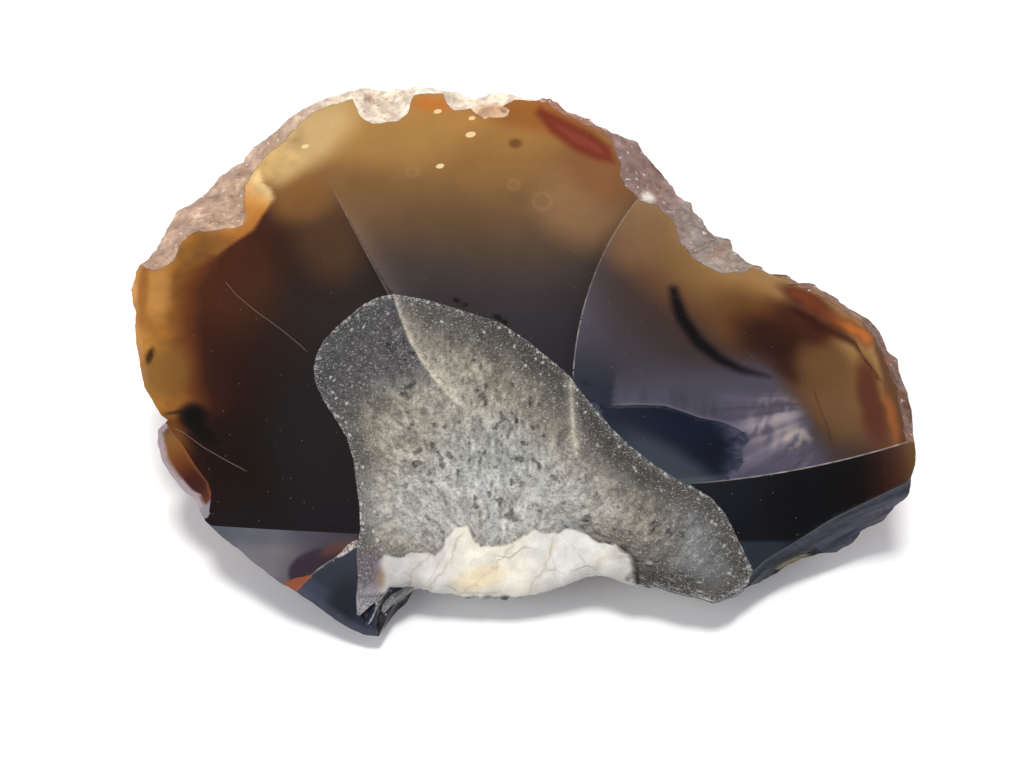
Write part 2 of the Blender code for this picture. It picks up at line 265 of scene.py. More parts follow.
heart = {
    "cells": 292,
    "middle": (-4.0, 27.0),
    "stand": 0.22,             # how far the crystals stand above the scars
    "outline": [
        (-23.9, 14.9), (-24.2, 18.5), (-24.9, 22.3), (-25.6, 26.2), (-26.8, 29.5), (-28.9, 32.9),
        (-30.9, 35.7), (-32.5, 39.1), (-32.9, 41.5), (-32.5, 43.9), (-31.6, 46.3), (-29.4, 48.9),
        (-27, 51.3), (-25.1, 53.0), (-22.7, 54.3), (-20.1, 54.9), (-17, 54.4), (-13.6, 53.7), (-9.8, 52.4),
        (-5, 50.8), (-2.4, 50), (0, 48.4), (3, 46.3), (5, 44.4), (7.5, 42.3), (9.7, 40.2), (11.7, 37.2),
        (14.4, 33.8), (16.4, 31.2), (19.3, 28.3), (22.8, 25.4), (26.2, 23.1), (28.7, 21.9), (31.7, 19.9),
        (33.6, 17.5), (35.1, 14), (36.3, 11.1), (37.4, 8.6), (36.3, 6.4), (35.5, 5.5), (32.7, 4.0),
        (30.7, 3.5), (28.6, 4.3), (25.1, 5.0), (22.2, 6.0), (19.2, 6.1), (17.3, 6.6), (14.8, 7.6),
        (12.9, 7.8), (11.5, 7.6), (8.6, 6.5), (3.6, 4.9), (-1.7, 4.3), (-5.5, 4.3), (-9.3, 5.0),
        (-12.2, 5.3), (-14.9, 5.8), (-18.6, 5.9), (-20.0, 3.6), (-21.0, 0.6), (-22.4, -0.4), (-23.7, 1.4),
        (-24.0, 4.2), (-23.9, 7.5), (-24.3, 11.0),
    ],
    # the top edge of the white band, from its left end to its right end
    "bandTop": [
        (-23, 5.0), (-21.4, 7.0), (-21, 9.9), (-19.8, 11.1), (-17.2, 10.7), (-14.6, 11.6), (-11.9, 11.0),
        (-11.0, 11.9), (-10.3, 13.7), (-8.6, 15.4), (-6.7, 15.2), (-5.5, 12.8), (-3.1, 12), (-0.4, 12.6),
        (1.6, 14), (3.5, 14.8), (6.0, 14.2), (8.5, 14.9), (11.4, 14.6), (13.4, 12.8), (16.4, 12.6),
        (18.8, 10.1), (19.1, 7.6), (18.2, 4.0),
    ],
}

ridgeA = [
    (-33.6, 79.0), (-32.3, 76.6), (-30.9, 73.8), (-29.4, 70.4), (-27.5, 67.6), (-25.6, 63.7), (-23.7, 60.4),
    (-21.3, 56.5), (-20.1, 54.9), (-18.9, 51), (-17, 46.3), (-15.1, 42.9), (-12.7, 39.6), (-9.8, 36.2),
    (-7.8, 34.6), (-5.6, 33.0),
]
ridgeB = [
    (21.5, 71.8), (19.3, 69), (16.9, 65.5), (15.4, 63), (13.9, 59.1), (12.7, 54.7), (11.7, 49.7),
    (10.4, 43.8), (9.9, 40.2), (9.6, 38.7), (9.7, 35.2), (9.9, 30.3), (10.2, 27.3), (10.5, 24.5),
]


def scarRoots(x, y):
    # sqrt(radius^2 - distance^2) for each scar
    return [
        np.sqrt(np.maximum(radius**2 - (x - cx) ** 2 - (y - cy) ** 2, 1))
        for cx, cy, depth, radius in stone["scars"]
    ]


def scarHeights(x, y):
    # each scar is the lower part of a sphere: depth + radius - sqrt(radius^2 - distance^2)
    return np.stack([scar[2] + scar[3] - root for scar, root in zip(stone["scars"], scarRoots(x, y))])


def scarSlopes(x, y):
    # how fast each scar climbs across and up: offset / sqrt(radius^2 - distance^2)
    roots = scarRoots(x, y)
    across = np.stack([(x - scar[0]) / root for scar, root in zip(stone["scars"], roots)])
    up = np.stack([(y - scar[1]) / root for scar, root in zip(stone["scars"], roots)])
    return across, up


def ridgeOf(x, y):
    # the two lowest scars, and the way and distance to the ridge between them: gap / how fast it closes
    heights = scarHeights(x, y)
    order = np.argsort(heights, axis=0)[:2]
    gap = np.take_along_axis(heights, order, 0)
    across, up = (np.take_along_axis(slopes, order, 0) for slopes in scarSlopes(x, y))
    wayX, wayY = across[1] - across[0], up[1] - up[0]
    steep = np.maximum(np.hypot(wayX, wayY), 1e-6)
    return order[0], order[1], (gap[1] - gap[0]) / steep, wayX / steep, wayY / steep, steep


def snapTo(x, y, outline, reach):
    # moves the points that lie within reach of an outline onto it, down the slope of the distance
    away = insideBy(x, y, outline)
    wayX = (insideBy(x + 0.02, y, outline) - away) / 0.02
    wayY = (insideBy(x, y + 0.02, outline) - away) / 0.02
    pull = (np.abs(away) < reach) & (np.hypot(wayX, wayY) > 0.7)
    return x - np.where(pull, away * wayX, 0), y - np.where(pull, away * wayY, 0)


def roundedLevel(x, y):
    # the scars with their ridges rounded off: -s * log(sum of exp(-height / s))
    return -0.35 * np.log(np.exp(-scarHeights(x, y) / 0.35).sum(axis=0))


def rindDepthOf(x, y):
    # how deep a point lies in the nearest rind zone, whose edge is made uneven by noise
    warpX = 0.30 * roughNoise(x, y, 2.2, 201, 3)
    warpY = 0.30 * roughNoise(x, y, 2.2, 207, 3)
    return np.max([insideBy(x + warpX, y + warpY, zone) for zone in stone["rindZones"]], axis=0)


def within(x, y, name):
    # how deep a point lies inside one of the stone's outlines, and 0 outside it
    return np.maximum(insideBy(x, y, stone[name]), 0)


def fanRays(x, y, wide, fine, weight):
    # waves around a point at the far right: a wide one, and a finer one by its weight
    turn = np.arctan2(y - 36, x - 56)
    wideWave = waveNoise(turn * wide, turn * 0 + 2, 1.0, 41)
    return wideWave + weight * waveNoise(turn * fine, turn * 0 + 4, 1.0, 43)


def hackleShare(x, y):
    # where rays of fine ridges fan out from the right end of the feather ledge
    inFan = ease(x, 31, 38) * (1 - ease(x, 45.5, 49.5)) * ease(y, 22.5, 26)
    return inFan * (1 - ease(y + 0.25 * (x - 38), 34, 39)) * ease(insideBy(x, y, stone["feather"]), 0.2, 0)


def faceLevel(x, y):
    # the lowest scar, less the slopes, ledges and hollows cut into it, plus a trace of waviness
    heights = scarHeights(x, y)
    level = heights.min(axis=0)
    level = level + (roundedLevel(x, y) - level) * ease(y, 73, 79) * ease(x, -22, -27)
    ledge = stone["ledge"] * ease(insideBy(x, y, stone["feather"]), 0.0, 0.6)
    level = level - ledge * ease(heights[4] - heights[2], 0.0, 0.5) * ease(x, 38, 34)
    depth = np.maximum(rindDepthOf(x, y), 0)
    uneven = 0.42 * roughNoise(x, y, 3.4, 21) + 0.12 * roughNoise(x, y, 0.9, 27, 2)
    level = level - stone["rindSlope"] * depth - uneven * ease(depth, 0, 1.2)
    wall = within(x, y, "sideWall")
    strata = 0.24 * waveNoise(wall * 1.7 + 0.3 * roughNoise(x, y, 3.0, 35, 2), (x + y) * 0.09, 1.0, 33)
    level = level - stone["bevelSlope"] * within(x, y, "bevel")
    level = level - stone["wallSlope"] * wall + strata * ease(wall, 0, 1)
    level = level - stone["toeSlope"] * within(x, y, "toeWall")
    level = level - stone["pocketSlope"] * within(x, y, "pocket")
    level = level + 0.035 * fanRays(x, y, 14, 37, 0.6) * hackleShare(x, y)
    edge = insideBy(x, y, stone["outline"])
    chips = np.maximum(0.0, 0.9 - edge) * (0.35 + 0.3 * roughNoise(x, y, 2.6, 51, 3))
    chips = chips * (0.2 + 0.8 * ease(y + 0.5 * np.abs(x), 62, 74))
    return level - chips + 0.02 * waveNoise(x, y, 7.0, 3)


def aroundMiddle(piece, reach, angle):
    # the point that lies that far from the piece's middle, in that direction
    return piece["middle"][0] + reach * np.cos(angle), piece["middle"][1] + reach * np.sin(angle)


def towardMiddle(piece, share, x, y):
    # middle + share * (point - middle)
    middleX, middleY = piece["middle"]
    return middleX + share * (x - middleX), middleY + share * (y - middleY)


def rimPoint(angle):
    # the outline with small bites; the rind breaks rougher than the glassy lower edge
    rim = radiusToward(stone["outline"], stone["middle"], angle)
    x, y = aroundMiddle(stone, rim, angle)
    rough = stone["rimRoughness"] * (0.35 + 0.9 * ease(y, 45, 60) + 0.5 * ease(x, 30, 45))
    return aroundMiddle(stone, rim + rough * roughNoise(x, y, 1.9, 61, 4), angle)


# meshes


def makePiece(name, points, triangles, sharpDegrees):
    # a smooth mesh whose edges turn sharp where its triangles bend by more than the given angle
    mesh = bpy.data.meshes.new(name)
    mesh.from_pydata(points.tolist(), [], triangles.tolist())
    mesh.shade_smooth()
    mesh.set_sharp_from_angle(angle=math.radians(sharpDegrees))
    piece = bpy.data.objects.new(name, mesh)
    bpy.context.scene.collection.objects.link(piece)
    return piece


def setNumbers(piece, name, values):
    # one number per point, for the finishes to read
    piece.data.attributes.new(name, "FLOAT", "POINT").data.foreach_set("value", values.astype(np.float32))


def toLinear(tone):
    # screen colour 0 to 255 into light: the usual curve
    share = np.clip(np.asarray(tone, float) / 255, 0, 1)
    return np.where(share <= 0.04045, share / 12.92, ((share + 0.055) / 1.055) ** 2.4)


def setTones(piece, name, tones, domain):
    # one colour per point, or per corner of each triangle
    colour = np.concatenate([toLinear(tones), np.ones((len(tones), 1))], axis=1)
    layer = piece.data.color_attributes.new(name, "FLOAT_COLOR", domain)
    layer.data.foreach_set("color", colour.astype(np.float32).ravel())


def gridTriangles(cells, gap):
    # two triangles per cell, split along the diagonal whose ends lie nearer a ridge
    index = np.arange((cells + 1) ** 2).reshape(cells + 1, cells + 1)
    a, b, c, d = index[:-1, :-1], index[:-1, 1:], index[1:, 1:], index[1:, :-1]
    a, b, c, d = a.ravel(), b.ravel(), c.ravel(), d.ravel()
    firstWay = (gap[a] + gap[c] <= gap[b] + gap[d])[:, None]
    one = np.where(firstWay, np.stack([a, b, c], 1), np.stack([a, b, d], 1))
    two = np.where(firstWay, np.stack([a, c, d], 1), np.stack([b, c, d], 1))
    return np.concatenate([one, two])


def relaxed(values, cells, rounds):
    # evens a grid out: each inner point moves to the average of its four neighbours, again and again
    grid = values.reshape(cells + 1, cells + 1).copy()
    for step in range(rounds):
        grid[1:-1, 1:-1] = (grid[:-2, 1:-1] + grid[2:, 1:-1] + grid[1:-1, :-2] + grid[1:-1, 2:]) / 4
    return grid.ravel()


def borderOf(cells):
    # the grid's border, anticlockwise
    index = np.arange((cells + 1) ** 2).reshape(cells + 1, cells + 1)
    return np.concatenate([index[0, :-1], index[:-1, -1], index[-1, :0:-1], index[:0:-1, 0]])


def ringTriangles(outer, inner):
    # joins two rings of equal count, facing down
    nextOuter, nextInner = np.roll(outer, -1), np.roll(inner, -1)
    half, otherHalf = [outer, inner, nextOuter], [nextOuter, inner, nextInner]
    return np.concatenate([np.stack(half, 1), np.stack(otherHalf, 1)])


def ringsToPole(rings, pole):
    # joins each ring to the next one, and closes the last one with a fan around the pole
    joined = [ringTriangles(outer, inner) for outer, inner in zip(rings[:-1], rings[1:])]
    fan = np.stack([rings[-1], np.full(len(rings[-1]), pole), np.roll(rings[-1], -1)], 1)
    return np.concatenate(joined + [fan])


# the domed skin under the face, as a share of the way from its middle (0) to the rim (1)

dome = {
    "depth": 28.6, "depthAt": 47.0, "lean": 0.46, "roundOff": 0.014, "roundOffFrom": 60.0, "fullness": 2.4,
    "wedgePower": 0.86, "wallPower": 0.5, "rimWall": 0.8,
}


def skinLevel(share, angle, x, y, rimLevel):
    # (rimLevel - rimWall) * share^3 - depth * (1 - share^fullness)^power + lumps; the depth grows up the face
    upward = (1 + np.sin(angle)) / 2
    power = dome["wedgePower"] + (dome["wallPower"] - dome["wedgePower"]) * upward
    profile = np.maximum(1 - share ** dome["fullness"], 0) ** power
    depth = dome["depth"] + dome["lean"] * (y - dome["depthAt"])
    depth = depth - dome["roundOff"] * np.maximum(y - dome["roundOffFrom"], 0) ** 2
    deep = depth * profile
    lumps = 0.9 * np.sin(0.31 * x + 1.3) * np.sin(0.37 * y + 0.4)
    lumps = lumps + 0.6 * np.sin(0.52 * x - 0.44 * y + 0.5 * deep)
    lumps = lumps + 0.4 * np.sin(0.71 * y + 0.63 * deep + 2.1) * np.cos(0.66 * x)
    fade = np.clip(share * (1.15 - share) * 4, 0, 1) ** 2
    return (rimLevel - dome["rimWall"]) * share**3 - deep + lumps * fade


def skinRings(angle, rimX, rimY, rimLevel, shares, sink=0.0):
    # rings of face points from the rim to the middle; a ring sunk by some millimetres lies inside the skin
    rings = []
    for share in shares:
        x, y = towardMiddle(stone, share, rimX, rimY)
        level = skinLevel(np.full(x.shape, share), angle, x, y, rimLevel)
        spare = np.maximum(rimLevel * share**3 - level, 0)
        level = level + np.minimum(sink * (0.5 + 0.5 * (1 - share)), 0.45 * spare)
        rings.append(np.stack([x, y, level], 1))
    return rings


# the colours of the face, in screen tones from 0 to 255; the warm amber to cream towards the thin rims is
# partly the stone's colour and partly a painted glow of light through it, and the pale blue gray of the corner
# and the cool gray violet of the right scar are partly painted reflection

tones = {
    "middle": [(42, (40, 38, 44)), (50, (46, 42, 46)), (55, (53, 46, 48)), (60, (66, 55, 50)),
               (65, (84, 65, 50)), (70, (104, 77, 52)), (75, (121, 89, 54)), (80, (138, 99, 56)),
               (84, (150, 108, 58)), (88, (166, 120, 64)), (93, (178, 130, 72))],
    "left": [(0, (178, 126, 66)), (2, (168, 115, 52)), (4.5, (148, 96, 40)), (6.5, (122, 76, 34)),
             (8.5, (92, 50, 23)), (11, (54, 26, 17)), (16, (48, 25, 18)), (22, (42, 27, 22)),
             (30, (42, 33, 30)), (38, (42, 36, 36))],
    "right": [(-14, (54, 51, 60)), (-9, (62, 56, 62)), (-4, (58, 48, 48)), (0, (62, 46, 40)), (4, (92, 63, 42)),
              (8, (124, 90, 54)), (13, (148, 111, 66)), (17, (152, 116, 74))],
    "dark": [(0, (14, 16, 22)), (8, (8, 8, 11)), (18, (10, 7, 7)), (21, (34, 16, 12)), (24.5, (66, 38, 24)),
             (26.5, (96, 68, 38))],
    "corner": [(0, (88, 90, 100)), (4, (106, 106, 112)), (9, (108, 105, 108)), (13, (84, 80, 86)),
               (20, (58, 50, 56)), (26, (50, 42, 48))],
    "pocket": [(0, (128, 92, 60)), (0.14, (172, 118, 60)), (0.32, (166, 98, 38)), (0.5, (134, 66, 26)),
               (0.66, (84, 32, 18)), (0.85, (78, 28, 20)), (1, (120, 62, 34))],
    "heart": [(0, (70, 67, 65)), (3, (82, 79, 74)), (6, (108, 102, 92)), (9.5, (138, 132, 118)),
              (15, (150, 145, 133))],
}


def rampTone(value, stops):
    # straight runs between the named stops
    places = [place for place, tone in stops]
    channels = np.array([tone for place, tone in stops], float).T
    return np.stack([np.interp(value, places, channel) for channel in channels], -1)


def paint(under, over, share):
    # under * (1 - share) + over * share, with colours or whole arrays of them
    share = np.clip(share, 0, 1)[..., None]
    return np.asarray(under, float) * (1 - share) + np.asarray(over, float) * share


def spot(x, y, centreX, centreY, halfAcross, halfUp, degrees=0.0):
    # 1 in the middle of a soft oval and 0 outside it
    turn = math.radians(degrees)
    dx, dy = x - centreX, y - centreY
    u = (dx * math.cos(turn) + dy * math.sin(turn)) / halfAcross
    v = (-dx * math.sin(turn) + dy * math.cos(turn)) / halfUp
    return ease(1.5 - np.hypot(u, v), 0, 1)


def dabs(tone, x, y, ovals):
    # soft ovals painted in turn: colour, strength, middle, half sizes, and the turn in degrees
    for colour, strength, *oval in ovals:
        tone = paint(tone, colour, strength * spot(x, y, *oval))
    return tone


def middleTone(x, y):
    # gray by the heart, amber to cream towards the top, partly the stone's colour and partly a painted glow of
    # light through the thinner stone; with rings, specks, a painted lit strip by ridge A and painted shade
    # along ridge B
    tone = dabs(rampTone(y + 1.4 * waveNoise(x, y, 19, 71), tones["middle"]), x, y, [
        ((142, 106, 72), 0.8, 13, 72, 9, 8, -50), ((180, 136, 76), 0.6, -22, 86, 12, 7),
        ((208, 174, 118), 0.95, -37.5, 84.5, 12, 5.5, 42), ((140, 78, 32), 0.65, 4, 90, 11, 3.6, -12),
        ((118, 70, 40), 0.5, 16, 78, 8, 5, -40), ((196, 116, 50), 0.8, -14.5, 91.8, 3.6, 1.6, -12),
    ])
    near, side, along = pathDistance(x, y, ridgeA)
    strip = np.exp(-near / 1.7) * (side > 0) * ease(along, 0.06, 0.3)
    tone = tone + strip[..., None] * (30, 26, 26)
    tone = paint(tone, (96, 58, 30), 0.7 * spot(x, y, 0.6, 83.8, 1.1, 0.9))
    for ringX, ringY, size in ((-17.5, 78.0, 0.9), (0.3, 75.5, 0.9), (5.3, 72.2, 1.6)):
        ring = np.abs(np.hypot(x - ringX, y - ringY) - size)
        tone = paint(tone, (176, 142, 108), 0.28 * np.exp(-ring / 0.25))
    specks = ((-9.3, 53.5, 0.7), (-7.9, 52.7, 0.4), (-2.4, 50.4, 0.9), (-1.2, 49.6, 0.5))
    tone = dabs(tone, x, y, [((16, 13, 12), 0.9, *speck, 0.4, -30) for speck in specks])
    # painted shade along ridge B, where the middle scar tilts away from the light
    return tone * (1 - 0.22 * np.exp(-pathDistance(x, y, ridgeB)[0] / 2.5))[..., None]


def leftTone(x, y):
    # a bright rim that darkens inward, partly the stone's colour and partly a painted glow of light through the
    # thin edge; the warm bevel, the dark pit beside the pocket, and painted shade along ridge A
    leftRim = [(-45, 84), (-50, 78.3), (-57, 70), (-62.2, 61.3), (-64.3, 57), (-63.1, 51), (-61.2, 42),
               (-57, 33), (-57, 30), (-52, 21)]
    near = pathDistance(x, y, leftRim)[0] * (1 + 0.10 * waveNoise(x, y, 6, 73))
    near = near + 2.4 * ease(y, 46, 36) + 7.5 * ease(y, 35, 29)
    tone = rampTone(near, tones["left"])
    tone = tone * (1 - 0.40 * ease(y, 52, 24) * ease(near, 9, 16))[..., None]
    tone = paint(tone, (84, 58, 38), 0.8 * spot(x, y, -31, 66, 7, 9, 20))
    tone = paint(tone, middleTone(x, y), ease(y - 0.25 * (x + 35), 65, 77) * ease(x, -45, -40))
    tone = paint(tone, (32, 29, 31), 0.7 * spot(x, y, -31, 30, 8, 16, 12))
    tone = paint(tone, (24, 23, 27), 0.6 * ease(y, 24, 15))
    tone = dabs(tone, x, y, [((130, 88, 44), 0.7, -36.5, 73, 5.5, 4.5, 30),
                             ((198, 164, 108), 0.9, -42.0, 80.5, 4.6, 4.4, 40)])
    glow = insideBy(x, y, stone["bevel"])
    onBevel = paint((188, 120, 48), (214, 180, 122), ease(y + 0.4 * (x + 44), 70, 75))
    onBevel = paint(onBevel, (130, 88, 38), 0.7 * ease(y + 0.3 * (x + 48), 66.5, 64))
    tone = paint(tone, onBevel, ease(glow, -0.03, 0.03))
    tone = paint(tone, (206, 148, 78), 0.5 * ease(glow, 1.0, 2.2) * ease(y, 65, 69))
    tone = paint(tone, (128, 88, 40), 0.8 * spot(x, y, -53.5, 62.5, 4.5, 2.2, 30))
    leaf, side, leafUp = pathDistance(x, y, [(-55.0, 31.4), (-53.4, 29.6), (-51.5, 27.2), (-49.6, 25.0)])
    tone = paint(tone, (112, 68, 32), 0.9 * ease(leaf, 1.7, 0.3) * ease(leafUp, 0.9, 0.2))
    tone = tone * (1 + 0.10 * roughNoise(x, y, 2.4, 211, 3) * ease(near, 10, 6))[..., None]
    tone = dabs(tone, x, y, [
        ((116, 82, 40), 0.75, -57.0, 40.5, 4.0, 4.6, -10), ((96, 58, 26), 0.6, -54.0, 31.6, 2.4, 0.8, -20),
        ((12, 8, 8), 0.95, -51.6, 33.4, 2.3, 1.9, -20), ((14, 10, 9), 0.85, -50.2, 30.9, 3.4, 1.1, -38),
        ((30, 16, 10), 0.6, -54.4, 33.9, 2.0, 0.3, 10), ((40, 26, 14), 0.85, -59.8, 43.6, 0.55, 1.4, -8),
        ((120, 66, 30), 0.5, -62.3, 55, 0.9, 6, 4), ((186, 140, 82), 0.5, -59.5, 55, 1.8, 5, 4),
        ((108, 58, 28), 0.3, -47, 58, 8, 10),
    ])
    # painted shade along ridge A, where the left scar tilts away from the light
    near, side, along = pathDistance(x, y, ridgeA)
    return tone * (1 - 0.25 * np.exp(-near / 2.0) * ease(along, 0.1, 0.4))[..., None]


def rightTone(x, y, inLens=False):
    # gray violet to amber: the gray violet by ridge B is partly a painted reflection, the amber at the rim
    # partly a painted glow through the thin edge; with the red wedge and ember at the rim and the fan of
    # hackles
    across = ((x - 17) * 25 + (y - 58) * 30) / 39 + 1.3 * waveNoise(x, y, 11, 75)
    tone = dabs(rampTone(across, tones["right"]), x, y, [
        ((122, 88, 54), 0.7, 22, 66, 5, 7, -30), ((92, 56, 28), 0.9, 43, 48.5, 10, 5, -28),
        ((44, 22, 16), 0.85, 45, 42.6, 8, 3.2, -24), ((44, 21, 15), 0.9, 45.0, 46.4, 7.5, 3.4, -22),
        ((62, 30, 22), 0.85, 49.6, 53.6, 4.6, 1.5, -30), ((98, 66, 38), 0.8, 51.5, 42, 4.5, 3.4, -30),
    ])
    warpX = x + 0.5 * roughNoise(x, y, 3.4, 221, 2)
    warpY = y + 0.5 * roughNoise(x, y, 3.4, 227, 2)
    tone = dabs(tone, warpX, warpY, [((102, 72, 42), 0.85, 52.2, 37.5, 4.6, 8.5, 10),
                                     ((78, 38, 26), 0.9, 58.6, 36.0, 2.0, 7.2, 6)])
    tone = paint(tone, (84, 56, 38), 0.9 * ease(warpX + 0.12 * (warpY - 36), 60.7, 61.8) * ease(y, 49, 45))
    tone = dabs(tone, warpX, warpY, [((146, 80, 36), 0.7, 61.6, 33.5, 0.8, 4.5, 2),
                                     ((58, 28, 18), 0.85, 48.0, 49.8, 5.4, 2.6, -33)])
    emberPath = [(47.9, 54.6), (51, 52.6), (54, 50.6), (57.4, 47.9), (59.0, 46.6)]
    ember, side, along = pathDistance(warpX, warpY, emberPath)
    tone = paint(tone, (118, 58, 30), 0.85 * ease(ember, 2.0, 0.1))
    tone = paint(tone, (192, 112, 48), 0.8 * ease(ember, 1.1, 0.1) * ease(along, 0.45, 0.8))
    wedgePath = [(46.4, 52.2), (48.4, 51.2), (50.9, 49.8), (54.1, 48.0), (56.7, 45.8), (58.4, 42.7),
                 (60.0, 39.7)]
    wedge, side, along = pathDistance(warpX, warpY, wedgePath)
    wide = 0.5 + 2.3 * ease(along, 0.0, 0.25) * ease(along, 0.75, 0.35)
    tone = paint(tone, (50, 20, 12), 0.9 * ease(wedge, wide, -0.3) * ease(along, 0.0, 0.08))
    # the blue lens below the ledge, and the lit skin above it
    lens = insideBy(x, y, stone["feather"])
    inShade = ease(x - 0.1 * (y - 35), 16.5, 16.2)
    tone = paint(tone, (26, 32, 46), 0.9 * inShade * ease(y + 0.4 * (x - 10), 47, 38))
    lit = ease(y - 0.16 * (x - 16), 42.5, 35.0) * (1 - inShade) * ease(x + 0.5 * (y - 30), 51, 46)
    streaks = waveNoise(x * 2.2, y * 0.35, 1.0, 231) * ease(lens, -4.5, -1.0)
    tone = paint(tone, (72, 70, 84), 0.9 * lit)
    tone = tone + (lit * 9 * streaks)[..., None] * (1, 1, 1.05)
    if inLens:
        deepBlue = paint((16, 23, 40), (12, 16, 28), 0.7 * spot(x, y, 34, 27, 7, 4, 30))
        deepBlue = paint(deepBlue, (56, 64, 74), 0.9 * spot(x, y, 26, 24.2, 10, 3.0, -36))
        frayed = ease(lens, 4.5, 0.0) * ease(x, 31.5, 36.0)
        frayed = frayed * (0.55 + 0.45 * ease(waveNoise(x + y, x - y, 0.8, 233), -0.4, 0.5))
        return paint(deepBlue, (86, 85, 102), 0.85 * frayed)
    tone = paint(tone, (128, 124, 136), 0.5 * np.exp(-np.abs(lens) / 0.3) * ease(x, 15.5, 19) * (y > 29))
    rays = fanRays(x, y, 17, 43, 0.7)
    fan = hackleShare(x, y)
    tone = paint(tone, (88, 83, 98), 0.85 * fan)
    cross = waveNoise(x - 0.5 * y, (y + 0.9 * x) * 0.3, 0.7, 235)
    scales = spot(x, y, 42.0, 32.5, 4.6, 3.6, 40) * ease(0.5 * rays + 0.8 * cross, -0.4, 0.7)
    tone = paint(tone, (150, 138, 138), 0.75 * scales)
    tone = paint(tone, (176, 160, 140), 0.6 * spot(x, y, 45.5, 29.5, 3.6, 1.6, 20) * ease(cross, 0.0, 0.6))
    tone = tone + (fan * 14 * rays)[..., None] * (1, 0.93, 1.0)
    # painted light: a bluish lit strip along ridge B, where the right scar faces the light
    near = pathDistance(x, y, ridgeB)[0]
    tone = tone + (np.exp(-near / 2.2) * ease(y, 66, 56) * ease(y, 42, 48))[..., None] * (11, 12, 17)
    specks = ((11.9, 39.0), (27.8, 22.6))
    return dabs(tone, x, y, [((16, 14, 12), 0.8, *speck, 0.7, 0.4, -30) for speck in specks])


def darkTone(x, y):
    # nearly black, with the bedded gray wall below it, and at the wall's foot a painted black shadow gap over a
    # painted sliver of light through a thin chip
    tone = rampTone(x - 37 + 0.6 * waveNoise(x, y, 5, 79), tones["dark"])
    tone = paint(tone, (44, 52, 62), 0.8 * ease(13.4 - y, 0, 0.7) * ease(46 - x, 0, 5))
    wall = insideBy(x, y, stone["sideWall"])
    bedded = waveNoise(wall * 2.6 + 0.5 * roughNoise(x, y, 4.0, 81, 2), (x + y) * 0.07, 1.0, 85)
    fine = waveNoise(wall * 6.5, (x + y) * 0.16, 1.0, 87)
    wallTone = paint((22, 28, 42), (86, 88, 104), 0.3 + 0.45 * bedded + 0.2 * fine)
    pinkish = ease(x, 50, 57) * ease(wall, 1.0, 2.2)
    wallTone = paint(wallTone, (98, 82, 92), 0.6 * pinkish * (0.6 + 0.5 * fine))
    wallTone = paint(wallTone, (26, 32, 42), 0.8 * ease(46 - x, 0, 8))
    # painted shadow: a black gap along the wall's foot; painted light: the pale yellow sliver below it, where
    # light comes through a thin chip
    slot, side, along = pathDistance(x, y, [(41.0, 8.9), (43.4, 10.0), (46.4, 11.1)])
    wallTone = paint(wallTone, (8, 8, 10), 0.95 * ease(slot, 1.3, 1.0))
    wallTone = paint(wallTone, (160, 148, 106), 0.75 * ease(slot, 0.38, 0.15) * ease(along, 1.0, 0.8))
    return paint(tone, wallTone, ease(wall, -0.03, 0.03))


def cornerTone(x, y):
    # pale blue gray that darkens to the right, partly the stone's colour and partly a painted reflection of the
    # bright sky, with a plum-coloured oval
    tone = rampTone(x + 46 + 1.2 * waveNoise(x, y, 3, 83), tones["corner"])
    tone = paint(tone, (66, 68, 80), 0.4 * ease(y, 11.0, 13.8) * ease(-x, 24, 34))
    oval = np.hypot((x + 28.4) / 6.0, (y - 8.3) / 3.7)
    tone = paint(tone, (50, 38, 48), 0.9 * ease(oval, 1.06, 0.92))
    return dabs(tone, x, y, [((96, 62, 52), 0.8, -27.2, 12.0, 2.6, 0.8, 24),
                             ((72, 66, 74), 0.7, -27, 13.6, 4, 0.8)])


def footTone(x, y):
    # blue gray with a paler rim, and the white lip below the band
    tone = paint((34, 40, 54), (58, 66, 82), 0.6 * spot(x, y, -30, 5.5, 4, 1.2, -32))
    tone = paint(tone, (20, 22, 28), 0.7 * spot(x, y, -25.8, 3.4, 2.4, 4.5, -20))
    tone = paint(tone, (72, 70, 86), 0.7 * ease(insideBy(x, y, stone["outline"]), 1.6, 0.5))
    tone = paint(tone, (22, 24, 30), ease(insideBy(x, y, stone["toeWall"]), -0.1, 0.2))
    lip = paint((196, 190, 178), (118, 118, 114), ease(x, 16, 19))
    return paint(tone, lip, ease(x, -15.5, -14.5))


def pocketTone(x, y):
    # amber to rust along the notch, with a pale rim
    along = pathDistance(x, y, [(-56.0, 31.2), (-54.4, 26.8), (-51.6, 23.0), (-48.2, 19.2)])[2]
    tone = rampTone(along, tones["pocket"])
    crease = pathDistance(x, y, [(-55, 30.9), (-52.9, 28.6), (-50.5, 25.2), (-48.1, 22.3), (-47.4, 20.4)])[0]
    tone = paint(tone, (182, 116, 62), 0.6 * ease(crease, 0.45, 0.1))
    tone = paint(tone * 0.72, (160, 147, 152), 0.95 * ease(insideBy(x, y, stone["outline"]), 1.0, 0.75))
    return paint(tone, (130, 128, 134), ease(y - 0.9 * (x + 48), 19.2, 18.8))


def lensTone(x, y):
    # the right scar's colours inside the blue lens
    return rightTone(x, y, True)


